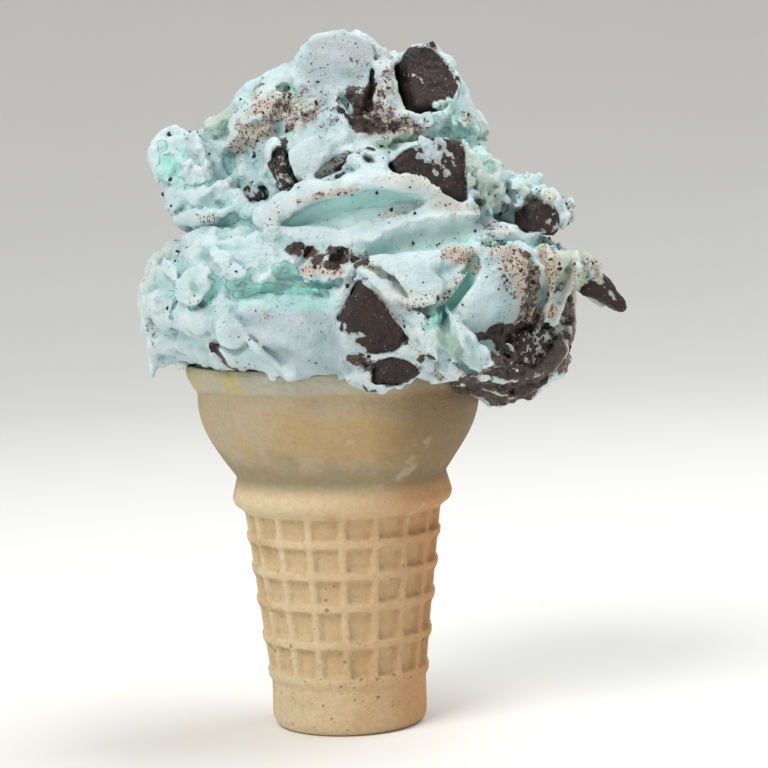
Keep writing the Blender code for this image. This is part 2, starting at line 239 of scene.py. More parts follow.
def add_rope(clay, side, points, lift, blend, carve, over=None):
    """Lay a rope of ice cream along a line on the skin, or press a groove.

    Each point is across, up, half width and half height; lift raises the rope off the skin.
    The line can lie over another solid's skin.
    """
    path = smooth_path(points, 1.0)
    middle, out = lay_on_skin(over or clay, side, path)
    along = np.gradient(middle, axis=0)
    along /= np.maximum(np.linalg.norm(along, axis=1, keepdims=True), 1e-6)
    out = out - along * np.sum(out * along, axis=1, keepdims=True)
    out /= np.maximum(np.linalg.norm(out, axis=1, keepdims=True), 1e-6)
    beside = np.cross(along, out)
    middle = middle + out * lift
    reach = float(path[:, 2:4].max()) + blend + 2
    spans = clay.part(middle.min(axis=0) - reach, middle.max(axis=0) + reach)[0]
    shape = Clay.on([axis[span] for axis, span in zip(clay.axes, spans)], clay.step,
                    np.full(clay.field[spans].shape, FAR, dtype=np.float32))
    for number in range(len(middle) - 1):
        start = middle[number]
        step = middle[number + 1] - start
        length = max(float(np.linalg.norm(step)), 1e-4)
        t, n, b = step / length, out[number], beside[number]
        wide, high = [float(v) for v in (path[number, 2:4] + path[number + 1, 2:4]) / 2]
        margin = max(wide, high) + blend + 1.5
        low = np.minimum(start, start + step) - margin
        top = np.maximum(start, start + step) + margin
        here, x, y, z = shape.part(low, top)
        x, y, z = x - start[0], y - start[1], z - start[2]
        travel = t[0] * x + t[1] * y + t[2] * z
        travel = travel - np.clip(travel, 0, length)
        sideways = b[0] * x + b[1] * y + b[2] * z
        outwards = n[0] * x + n[1] * y + n[2] * z
        k0 = np.sqrt((travel / wide) ** 2 + (sideways / wide) ** 2 + (outwards / high) ** 2)
        k1 = np.sqrt((travel / wide ** 2) ** 2 + (sideways / wide ** 2) ** 2
                     + (outwards / high ** 2) ** 2)
        shape.field[here] = np.minimum(shape.field[here], k0 * (k0 - 1) / np.maximum(k1, 1e-6))
    if carve:
        clay.cut(spans, shape.field, blend)
    else:
        clay.join(spans, shape.field, blend)
    return middle, path, out * path[:, 3:4] * (-1 if carve else 1)


# Noise ----------------------------------------------------------------------


class Grain:
    """Smooth random values all over space, from one seed."""

    SIZE = 32

    def __init__(self, seed):
        self.values = np.random.default_rng(seed).uniform(-1, 1, (self.SIZE,) * 3).astype(np.float32)

    def at(self, points, scale):
        """Values between -1 and 1, with one wave about every scale millimetres."""
        place = points / scale
        base = np.floor(place).astype(np.int32)
        share = place - base
        share = share * share * (3 - 2 * share)
        base %= self.SIZE
        after = (base + 1) % self.SIZE
        ends = (base, after)
        total = np.zeros(len(points), dtype=np.float32)
        for i in (0, 1):
            for j in (0, 1):
                for k in (0, 1):
                    weight = (np.abs(1 - i - share[:, 0]) * np.abs(1 - j - share[:, 1])
                              * np.abs(1 - k - share[:, 2]))
                    total += weight * self.values[ends[i][:, 0], ends[j][:, 1], ends[k][:, 2]]
        return total


GRAINS = [Grain(seed) for seed in range(11, 17)]
SKEW = np.array(Euler((0.6, 0.4, 0.9)).to_matrix(), dtype=np.float32)


def rumple(points, scale, octaves, rough=0.5, ridged=False):
    """Layered noise; ridged noise has soft lumps with sharp creases between them."""
    total = np.zeros(len(points), dtype=np.float32)
    size = 1.0
    whole = 0.0
    place = points
    for octave in range(octaves):
        place = place @ SKEW
        value = GRAINS[octave].at(place, scale)
        total += size * (1 - 2 * np.abs(value) if ridged else value)
        whole += size
        size *= rough
        scale *= 0.53
    return -total / whole if ridged else total / whole


# Solids of the frame --------------------------------------------------------


def solid_tree(name):
    """A search tree over one of the frame's solids, in millimetres."""
    work = bmesh.new()
    work.from_mesh(frame["nodes"][name].data)
    bmesh.ops.remove_doubles(work, verts=work.verts, dist=1e-7)
    bmesh.ops.scale(work, vec=(1 / MM,) * 3, verts=work.verts)
    tree = BVHTree.FromBMesh(work)
    work.free()
    return tree


def inside_spans(tree, x, y, low, high):
    """Heights at which a line straight up through a place goes in and out of a solid."""
    heights = []
    start = low - 1
    while start < high + 1:
        place = tree.ray_cast(Vector((x, y, start)), Vector((0, 0, 1)), high + 2 - start)[0]
        if place is None:
            break
        heights.append(place.z)
        start = place.z + 1e-3
    return heights


def clay_from(name, step, margin, floor=None):
    """The distance to one of the frame's solids, on a coarse grid of its own."""
    low, high = [np.array(corner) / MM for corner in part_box(name)]
    if floor is not None:
        low[2] = floor + margin
    clay = Clay(low - margin, high + margin, step)
    tree = solid_tree(name)
    xs, ys, zs = clay.axes
    aside = 0.013                 # keeps the lines off the edges between faces
    for i, x in enumerate(xs):
        for j, y in enumerate(ys):
            found = [tree.find_nearest(Vector((x, y, z)))[3] for z in zs]
            crossings = np.array(inside_spans(tree, x + aside, y + aside, -1.0, zs[-1]))
            inside = (crossings[None, :] < zs[:, None]).sum(axis=1) % 2 if len(crossings) else 0
            clay.field[i, j] = np.array(found) * (1 - 2 * inside)
    return clay


def spline_weights(share):
    """Weights of four neighbours for a smooth curve between grid values."""
    return ((1 - share) ** 3 / 6, (3 * share ** 3 - 6 * share ** 2 + 4) / 6,
            (-3 * share ** 3 + 3 * share ** 2 + 3 * share + 1) / 6, share ** 3 / 6)


def refine(coarse, axes):
    """Read a coarse field at every place of a finer block's axes."""
    field = coarse.field
    for axis in range(3):
        place = (axes[axis] - coarse.low[axis]) / coarse.step
        base = np.floor(place).astype(int)
        share = (place - base).astype(np.float32)
        shape = [1, 1, 1]
        shape[axis] = -1
        top = field.shape[axis] - 1
        total = 0
        for offset, weight in zip((-1, 0, 1, 2), spline_weights(share)):
            picked = np.take(field, np.clip(base + offset, 0, top), axis=axis)
            total = total + picked * weight.reshape(shape)
        field = total
    return field.astype(np.float32)


def soften(field, reach):
    """Mean of a field over a small cube round each place."""
    for axis in range(3):
        padding = [(0, 0)] * 3
        padding[axis] = (reach + 1, reach)
        sums = np.cumsum(np.pad(field, padding, mode="edge"), axis=axis, dtype=np.float32)
        width = 2 * reach + 1
        count = field.shape[axis]
        later = np.take(sums, range(width, width + count), axis=axis)
        field = (later - np.take(sums, range(count), axis=axis)) / width
    return field


# Skins ----------------------------------------------------------------------

MOST_TRIANGLES = 195000
LEAST_POINTS = 60               # a loose bit of skin with fewer is left out
CORNERS = [(i, j, k) for i in (0, 1) for j in (0, 1) for k in (0, 1)]
CELL_EDGES = [(a, b) for a in range(8) for b in range(a + 1, 8)
              if sum(abs(p - q) for p, q in zip(CORNERS[a], CORNERS[b])) == 1]


def skin_of(clay):
    """Points and four-sided faces of the skin where the field is zero."""
    inside = clay.field < 0
    shape = np.array(clay.field.shape) - 1
    count = np.zeros(shape, dtype=np.int8)
    for i, j, k in CORNERS:
        count += inside[i:i + shape[0], j:j + shape[1], k:k + shape[2]]
    cells = np.argwhere((count > 0) & (count < 8))
    values = np.stack([clay.field[cells[:, 0] + i, cells[:, 1] + j, cells[:, 2] + k]
                       for i, j, k in CORNERS], axis=1)
    total = np.zeros((len(cells), 3), dtype=np.float32)
    number = np.zeros(len(cells), dtype=np.float32)
    for a, b in CELL_EDGES:
        crossed = (values[:, a] < 0) != (values[:, b] < 0)
        fall = np.where(crossed, values[:, a] - values[:, b], 1)
        share = values[:, a] / fall
        start, end = np.array(CORNERS[a], dtype=np.float32), np.array(CORNERS[b], dtype=np.float32)
        total += np.where(crossed[:, None], start + (end - start) * share[:, None], 0)
        number += crossed
    points = (cells + total / number[:, None]) * clay.step + clay.low
    names = np.full(shape, -1, dtype=np.int32)
    names[tuple(cells.T)] = np.arange(len(cells))
    faces = []
    for axis in range(3):
        one, two = [(axis + 1) % 3, (axis + 2) % 3]
        cut = [slice(1, -1)] * 3
        cut[axis] = slice(0, -1)
        after = list(cut)
        after[axis] = slice(1, None)
        first, second = inside[tuple(cut)], inside[tuple(after)]
        places = np.argwhere(first != second)
        for corner in (one, two):
            places[:, corner] += 1
        loop = []
        for back_one, back_two in ((1, 1), (0, 1), (0, 0), (1, 0)):
            cell = places.copy()
            cell[:, one] -= back_one
            cell[:, two] -= back_two
            loop.append(names[tuple(cell.T)])
        quads = np.stack(loop, axis=1)
        leaving = first[first != second]
        quads[~leaving] = quads[~leaving][:, ::-1]
        faces.append(quads)
    faces = np.concatenate(faces)
    return points.astype(np.float32), faces[(faces >= 0).all(axis=1)]


def add_mesh(name, points, faces):
    """A new object whose mesh has these points, in millimetres, and faces."""
    mesh = bpy.data.meshes.new(name)
    mesh.from_pydata((points * MM).tolist(), [], faces)
    piece = bpy.data.objects.new(name, mesh)
    bpy.context.scene.collection.objects.link(piece)
    return piece


def store(piece, name, values):
    """Keep one number for each of a piece's points."""
    layer = piece.data.attributes.new(name, "FLOAT", "POINT")
    layer.data.foreach_set("value", values.astype(np.float32))


def make_piece(name, points, faces):
    """A mesh object from a skin, thinned if it has too many triangles."""
    piece = add_mesh(name, points, faces.tolist())
    triangles = 2 * len(faces)
    if triangles > MOST_TRIANGLES:
        thin = piece.modifiers.new("Thin", "DECIMATE")
        thin.ratio = MOST_TRIANGLES / triangles
        settle(piece)
    piece.data.shade_smooth()
    return piece


def settle(piece):
    """Turn what a piece's modifiers show into its own plain mesh."""
    seen = piece.evaluated_get(bpy.context.evaluated_depsgraph_get())
    mesh = bpy.data.meshes.new_from_object(seen)
    old = piece.data
    piece.modifiers.clear()
    piece.data = mesh
    mesh.name = piece.name
    bpy.data.meshes.remove(old)


def points_of(piece):
    """A piece's points in millimetres."""
    values = np.empty(len(piece.data.vertices) * 3, dtype=np.float32)
    piece.data.vertices.foreach_get("co", values)
    return values.reshape(-1, 3) / MM


def paint(piece, name, columns):
    """Store up to three masks on a piece's points as one colour attribute."""
    columns = list(columns) + [np.zeros(len(piece.data.vertices))] * (3 - len(columns))
    values = np.stack(columns + [np.ones(len(columns[0]))], axis=1).astype(np.float32)
    layer = piece.data.color_attributes.new(name, "FLOAT_COLOR", "POINT")
    layer.data.foreach_set("color", np.clip(values, 0, 1).ravel())


def painted(piece, name):
    """The masks of one painted attribute, a row for each point."""
    values = np.empty(len(piece.data.vertices) * 4, dtype=np.float32)
    piece.data.color_attributes[name].data.foreach_get("color", values)
    return values.reshape(-1, 4)


def drop_specks(points, faces):
    """Leave out loose bits of skin that hang in the air."""
    parent = np.arange(len(points))
    ends = np.concatenate([faces[:, :2], faces[:, 1:3], faces[:, 2:]])
    while True:
        low = np.minimum(parent[ends[:, 0]], parent[ends[:, 1]])
        np.minimum.at(parent, ends[:, 0], low)
        np.minimum.at(parent, ends[:, 1], low)
        flat = parent[parent]
        if np.array_equal(flat, parent) and (parent[ends[:, 0]] == parent[ends[:, 1]]).all():
            break
        parent = flat
    names, sizes = np.unique(parent, return_counts=True)
    kept = np.isin(parent, names[sizes >= LEAST_POINTS])
    renumber = np.cumsum(kept) - 1
    return points[kept], renumber[faces[kept[faces[:, 0]]]]


# The heap of ice cream ------------------------------------------------------

# The shade entry is painted shade laid on the skin.
STAINS = ("teal", "cocoa", "cream", "specks", "olive", "grey", "paste", "shade")


def smooth_step(value, start, end):
    """0 at start and 1 at end, with soft ends."""
    share = np.clip((value - start) / (end - start), 0, 1)
    return share * share * (3 - 2 * share)


class Heap:
    """Both scoops as one lump of clay, with the stains that each stroke leaves."""

    def __init__(self, step, scoops):
        lows = np.min([scoop.low for scoop in scoops], axis=0)
        highs = np.max([[axis[-1] for axis in scoop.axes] for scoop in scoops], axis=0)
        self.clay = Clay(lows, highs, step)
        self.coarse = Clay(lows - 3, highs + 3, 1.3)
        self.stains = []
        self.calm = []            # smooth places: centre and radius

    def keep_calm(self, *places):
        """Leave the skin smooth round some places, given as three coordinates and a radius."""
        self.calm += [(np.array(place[:3]), place[3]) for place in places]

    def mark(self, middle, widths, stain):
        """Remember a stain along a line of points."""
        if stain:
            self.stains.append((middle, np.asarray(widths, dtype=np.float32), stain))

    def rope(self, points, lift=0.0, blend=1.2, over=None, side="front", **stain):
        """A raised line, with its stain."""
        middle, path, reach = add_rope(self.clay, side, points, lift, blend, False, over)
        self.mark(middle + 0.6 * reach, path[:, 2:].max(axis=1) * 0.8 + 0.8, stain)

    def groove(self, points, blend=1.2, calm=False, side="front", **stain):
        """A pressed line, with its stain; a calm one stays smooth."""
        middle, path, reach = add_rope(self.clay, side, points, 0, blend, True)
        for share in (0.2, 0.6, 1.0):
            self.mark(middle + share * reach, path[:, 2] * 0.9 + 0.6, stain)
        if calm:
            self.calm.extend((place, 2.2 * wide) for place, wide in zip(middle, path[:, 2]))

    def dab(self, points, lift=0.0, blend=1.0, carve=False, side="front", **stain):
        """Lumps of half sizes across, up and deep, each on the skin at its own place."""
        for across, up, wide, tall, deep, turn in points:
            spot, _ = lay_on_skin(self.clay, side, np.array([[across, up]]))
            axis_across, axis_up, depth, way = SIDES[side]
            radii = [0.0] * 3
            radii[axis_across], radii[axis_up], radii[depth] = wide, tall, deep
            angles = [0.0] * 3
            angles[depth] = turn * (-way if depth == 1 else way)
            spot[0, depth] -= way * lift
            add_lump(self.clay, spot[0], radii, angles, blend, carve)
            for share in (0.0, 0.8):
                seat = spot.copy()
                seat[0, depth] += way * share * deep * (1 if carve else -1)
                self.mark(seat, [max(wide, tall)], stain)

    def crumble(self, centre, reach, count, sizes, seed, lift=0.2, carve=False, over=None,
                side="front", **stain):
        """Many small bits in a round patch of skin; carve makes them pits."""
        chance = np.random.default_rng(seed)
        angle = chance.uniform(0, 2 * math.pi, count)
        away = np.sqrt(chance.uniform(0, 1, count))
        wide, tall = reach if isinstance(reach, tuple) else (reach, reach)
        flat = np.stack([centre[0] + wide * away * np.cos(angle),
                         centre[1] + tall * away * np.sin(angle)], axis=1)
        spots, out = lay_on_skin(over or self.clay, side, flat, alone=True)
        radii = sizes[0] + (sizes[1] - sizes[0]) * chance.uniform(0, 1, (count, 3)) ** 2
        turns = chance.uniform(0, 180, (count, 3))
        for spot, way, radius, turn in zip(spots, out, radii, turns):
            if not np.isnan(spot).any():
                add_lump(self.clay, spot + way * lift, radius, turn, 0.25, carve)
        good = ~np.isnan(spots).any(axis=1)
        self.mark(spots[good], radii[good].max(axis=1) + 0.5, stain)

    def stain(self, points, side="front", **stain):
        """Only colour, along a line of places with a half width each."""
        path = smooth_path([(a, b, w, w) for a, b, w in points], 1.0)
        middle, _ = lay_on_skin(self.clay, side, path)
        self.mark(middle, path[:, 2], stain)

    def veil(self, seed, scale):
        """Broad noise over the whole block, worked out on a coarser grid."""
        grid = np.stack(np.meshgrid(*self.coarse.axes, indexing="ij"), axis=-1).reshape(-1, 3)
        self.coarse.field = rumple(grid.astype(np.float32) + seed, scale, 2).reshape(
            [len(axis) for axis in self.coarse.axes])
        return refine(self.coarse, self.clay.axes)

    def roughness(self):
        """1 over most of the block and near 0 in calm places."""
        field = self.coarse.field = np.zeros([len(axis) for axis in self.coarse.axes], np.float32)
        for centre, radius in self.calm:
            spans, x, y, z = self.coarse.part(centre - radius, centre + radius)
            away = np.sqrt((x - centre[0]) ** 2 + (y - centre[1]) ** 2 + (z - centre[2]) ** 2)
            field[spans] = np.maximum(field[spans], smooth_step(away / radius, 0.95, 0.55))
        return 1 - 0.9 * refine(self.coarse, self.clay.axes)

    def band(self, reach):
        """Places near the skin, and how rough each may be."""
        clay = self.clay
        index = np.nonzero(np.abs(clay.field) < reach)
        points = np.stack([axis[i] for axis, i in zip(clay.axes, index)], axis=1)
        return index, points, self.roughness()[index]

    def smudge(self, broad, small):
        """Push the skin about sideways, so that no line on it stays even."""
        index, points, rough = self.band(3.2)
        moves = []
        for axis in range(3):
            moves.append(broad * (0.4 + 0.6 * rough) * self.veil(31.0 * (axis + 1), 5.5)[index]
                         + small * rough * rumple(points + 31.0 * (axis + 1), 1.9, 2))
        self.clay.field[index] = self.clay.sample(points + np.stack(moves, axis=1))

    def roughen(self, coarse, ledge, crease, grit):
        """Torn ledges, lumps, creases and grit over the skin, gentler where it is calm."""
        index, points, rough = self.band(2.8)
        patch = smooth_step(self.veil(3.0, 14.0)[index], -0.25, 0.35)
        ragged = rumple(points, 1.7, 2)
        moved = coarse * self.veil(0.0, 8.0)[index]
        for seed, scale in ((0.0, 13.0), (50.0, 7.0)):
            level = self.veil(seed, scale)[index] + 0.1 * ragged
            for start in (-0.25, 0.1):
                moved += ledge * rough * (smooth_step(level, start, start + 0.09) - 0.5)
        moved += crease * rumple(points, 3.4, 3, 0.6, True) * rough * (0.3 + 0.7 * patch)
        moved += grit * (0.6 * rumple(points, 1.2, 2, 0.7, True) + 0.5 * ragged) * rough * (
            0.35 + 0.65 * patch)
        self.clay.field[index] += moved

    def tones(self, points):
        """How much of each stain lies at some points."""
        found = {name: np.zeros(len(points), dtype=np.float32) for name in STAINS}
        uneven = 1 + 0.45 * rumple(points, 2.2, 2)
        for middle, widths, stain in self.stains:
            reach = float(widths.max()) * 1.6
            box = ((points > middle.min(axis=0) - reach) & (points < middle.max(axis=0) + reach))
            close = np.nonzero(box.all(axis=1))[0]
            if not len(close):
                continue
            best = np.zeros(len(close), dtype=np.float32)
            for place, width in zip(middle, widths):
                gap = np.linalg.norm(points[close] - place, axis=1) / width
                best = np.maximum(best, 1 - smooth_step(gap * uneven[close], 0.55, 1.25))
            for name, amount in stain.items():
                found[name][close] = np.maximum(found[name][close], best * amount)
        return found


def sculpt_crown(heap):
    """The front of the upper scoop: knob, crumbly hollow, smooth facet and left lobe."""
    heap.groove([(-21.5, 127, .7, 1.6), (-20, 122.5, .9, 2.2), (-16.5, 118.5, .9, 2.2),
                 (-12.5, 115, .6, 1.4)], teal=.7)
    heap.groove([(10.4, 145.6, .8, 2.4), (9.8, 140.5, 1.1, 4), (9, 136, 1.1, 3.6), (7.4, 134, .7, 2)],
                cocoa=.9, specks=1, grey=.5, paste=.8)
    heap.dab([(-8.5, 138, 2.2, 3.6, 3.5, 20), (-5, 134.5, 1.8, 2.4, 2.5, -20)], carve=True, teal=.8,
             olive=.7)
    heap.stain([(-12, 134, 2.6), (-7, 136, 3), (-3, 133, 2.6)], specks=1, cocoa=1, paste=.25)
    heap.stain([(-20, 127, 2), (-16, 130.5, 2.6), (-11, 130, 2.4)], cocoa=.9, cream=.5)
    # Blue-grey in the hollow under the knob: painted shade.
    heap.stain([(-3, 134, 2.4), (0, 130.5, 2.8), (-2, 128.4, 2)], grey=1, teal=.2, specks=.8)
    heap.stain([(6, 138, 1.8), (8, 134.6, 2.6), (7, 131.4, 2.4), (11, 131, 2)], paste=.75, cocoa=.8,
               specks=1, grey=.6)
    heap.stain([(-17, 129, 2), (-14, 126, 2)], specks=.9, cocoa=.4)
    heap.stain([(-6, 141, 1), (-8, 137, 1.2), (-6, 133, 1.2)], paste=.6, specks=1)
    heap.stain([(-9, 128, 1.4), (-11, 123, 1.6), (-7, 118.5, 1.4)], cocoa=.9, paste=.8)
    heap.stain([(10, 133, 2.4), (15, 131, 2.6), (19, 129.6, 2)], cocoa=.7, specks=1, paste=.4)
    heap.dab([(4.5, 135.5, 2.8, 3.2, 2.2, 0)], carve=True, teal=.5, grey=.6, specks=.6)
    heap.groove([(18.5, 128.5, .9, 1.6), (15, 127.5, 1.2, 2.6), (11.5, 126.5, .9, 1.6)], olive=.9, teal=.3)
    heap.dab([(-3, 124.5, 6.2, 4.6, 2.6, 25)], lift=.2, blend=1.6, grey=.1)
    heap.keep_calm((-3, -26, 124.5, 8))
    heap.groove([(-2, 121, .3, 1), (1, 122.8, .6, 2.2), (4.5, 125, .4, 1.2)], cocoa=.8, teal=.6, specks=.8)
    heap.rope([(1.5, 138, 1.2, 1.6), (2.5, 131.5, 2, 2), (4.5, 126, 2.2, 1.8), (8, 122, 1.6, 1.2)], lift=.3)
    heap.dab([(1.5, 143.5, 8.4, 8.2, 4.6, 10)], lift=-2.2, blend=2.5, grey=.8)
    heap.keep_calm((2, -17, 146, 8))
    heap.stain([(-3, 150, 3), (6, 149, 3.6), (10, 146, 3.4)], cream=1, grey=.9, cocoa=.25, shade=.45)
    heap.stain([(-3, 145, 4), (3, 142, 5), (7, 146, 4)], grey=1, cocoa=.3, cream=.5, shade=.3)
    heap.stain([(-4, 139, 2.4), (2, 137.6, 2.6), (7, 137, 2)], grey=1, specks=.9)
    heap.rope([(12.2, 147, 1, 1.6), (13, 142, 1.4, 2), (12.8, 137, 1.5, 2), (12.4, 132.5, 1.2, 1.5)],
              lift=.3, cream=.6, grey=.5, specks=.9)
    heap.crumble((12.9, 140), (1.8, 9), 190, (.25, .7), 3, cream=.4, grey=.4, cocoa=.3)
    heap.crumble((8, 134), (3.4, 3.6), 110, (.3, .9), 65, cocoa=1, paste=.5, grey=.5)
    heap.crumble((12.9, 138), (1.6, 8), 50, (.3, .7), 53, carve=True, specks=1, cocoa=.9, paste=.5)
    heap.rope([(-17.5, 131, 1.1, 1.2), (-13.5, 135, 1.6, 1.8), (-8.5, 136.2, 1.7, 1.8),
               (-3.5, 133, 1.3, 1.4)], lift=.5, cocoa=.85, cream=.6, specks=.7)
    heap.crumble((-9, 134.5), (9, 3.5), 200, (.25, .9), 4, cocoa=.6, cream=.3)
    heap.crumble((-8, 134), (7, 3), 80, (.3, .8), 54, carve=True, cocoa=.9, specks=1, paste=.38)
    heap.crumble((5, 134), (5, 3), 50, (.3, .9), 55, carve=True, grey=.7, specks=1, paste=.4)
    heap.rope([(-20.5, 127.5, 1.3, 1.3), (-18, 133, 1.8, 1.8), (-13, 138.8, 2, 2), (-8, 143.5, 1.5, 1.5)],
              lift=.2, blend=2)
    heap.keep_calm((-14, -13, 138, 6))
    heap.crumble((-14, 128.5), (5, 4), 120, (.3, .9), 5, specks=.6)
    heap.crumble((26, 131), (4.6, 5), 260, (.35, 1.1), 6, lift=.5, teal=.55)
    heap.stain([(27, 134, 3), (30.5, 128.5, 3), (31, 124, 2.4)], teal=.5, olive=.35)
    heap.stain([(34, 130, 2), (34.6, 124, 2.4), (35, 118, 2)], olive=1)
    heap.stain([(28.5, 124, 2.6), (31.5, 119.5, 3.4), (34, 115, 2.4)], cream=.6, olive=.35)
    heap.stain([(22, 148.6, 1.4), (27, 146.6, 1.6), (31, 142, 1.8), (32, 137, 1.4)], cocoa=1, cream=.9,
               paste=.45)
    heap.crumble((27, 131), (4, 4.5), 50, (.4, .9), 7, lift=-.2, carve=True, teal=.9)
    heap.crumble((14, 131), (8, 3.4), 170, (.25, .9), 8, cream=.25, cocoa=.3)
    heap.stain([(9, 133, 1.8), (12, 131, 2.2), (15.5, 130.5, 1.6)], cocoa=.9, specks=1)
    heap.rope([(28, 126.5, 1.2, 1.3), (30.5, 122, 1.8, 2.2), (32, 117, 1.8, 2.2), (33.5, 113.5, 1.3, 1.4)],
              lift=.4, cream=.25, olive=.15)
    heap.crumble((31.5, 120), (4, 8), 200, (.3, 1), 9, lift=.3)
    heap.rope([(11.5, 121.6, 1.2, 1), (6, 122.5, 1.4, 1.2), (0, 120.5, 1.6, 1.4), (-6, 118.5, 1.1, 1)],
              lift=.1, specks=.4)


def sculpt_left_lobe(heap):
    """The lobe that hangs out on the left, with its turquoise hollow."""
    heap.dab([(-34, 125, 4, 5, 4, 0)], lift=-3, blend=2)
    heap.dab([(-34, 124, 3, 3.6, 1.6, 10)], carve=True, teal=1)
    heap.rope([(-36.5, 120.5, 1.2, 1.3), (-37.8, 127, 1.7, 2), (-34.5, 131, 1.8, 2.2),
               (-29.5, 130, 1.7, 2.2), (-26.5, 125.5, 1.5, 2), (-24.5, 121, 1.5, 1.8)], lift=.5, cream=.15)
    heap.groove([(-36.5, 128.3, .5, .8), (-32.5, 128.6, .7, 1.2), (-30, 127, .5, .8)], teal=.5)
    heap.rope([(-33, 117, 1.3, 1.4), (-27.5, 117.2, 1.8, 2.2), (-22, 119, 1.6, 1.9), (-18, 123, 1.1, 1.2)],
              lift=.4)
    heap.groove([(-30, 119.5, .5, .8), (-25.5, 120, .7, 1.2), (-21.5, 122.5, .6, 1)], teal=.8)
    heap.rope([(-31.5, 112.7, 1.2, 1.3), (-26, 113.6, 2, 2), (-19, 114.2, 1.9, 2), (-13.5, 116, 1.3, 1.4)],
              lift=.5, teal=.2)
    heap.groove([(-28.5, 110.6, .6, 1), (-22, 111.6, .9, 1.8), (-16.5, 111.8, .8, 1.6),
                 (-13, 113.2, .6, 1)], teal=.8)
    heap.groove([(-31.5, 116, .4, .7), (-26, 115.6, .6, 1), (-20, 116.6, .5, .8)], teal=.6)
    heap.dab([(-23.5, 133, 3.4, 2.4, 2.4, 20)], lift=.4, olive=.9, cream=.3)
    heap.crumble((-28, 122), (8, 9), 60, (.3, .8), 12)
    heap.stain([(-27, 112.5, 1.4), (-23.5, 112.5, 1.2)], specks=1, cocoa=.5)


def sculpt_right_knob(heap):
    """The crumbly knob on the right, above the spur."""
    heap.groove([(36.5, 117.5, .6, 1.8), (37.6, 113.5, .9, 2.8), (37, 110, .6, 1.6)], cocoa=.8, specks=1)
    heap.groove([(42, 118.5, .6, 1.4), (42.6, 115, .8, 2.2)], olive=.9, cocoa=.4)
    heap.dab([(36, 118.8, 2.3, 1.9, 2, 0), (40.3, 117, 2, 2.4, 2, 0), (46.5, 114, 2.4, 3.2, 2.4, -20),
              (34.2, 113.6, 2, 1.8, 1.8, 0), (39.6, 112.4, 1.4, 2, 1.5, 10)], lift=.2, blend=1)
    heap.dab([(44.6, 119.6, 2, 1.7, 1.8, 0)], lift=.3, blend=.8)
    heap.crumble((38, 116), (7, 5), 200, (.4, 1.2), 14, lift=.2)
    heap.stain([(42, 116.5, 2), (47, 114.5, 3), (48, 110.5, 2.4)], olive=.8, cream=.5)
    heap.stain([(38, 113.5, 1), (39.5, 111, 1.2)], cocoa=.8)
    heap.stain([(45, 115.5, 2), (47.5, 113.5, 1.8)], cocoa=.5, specks=1)


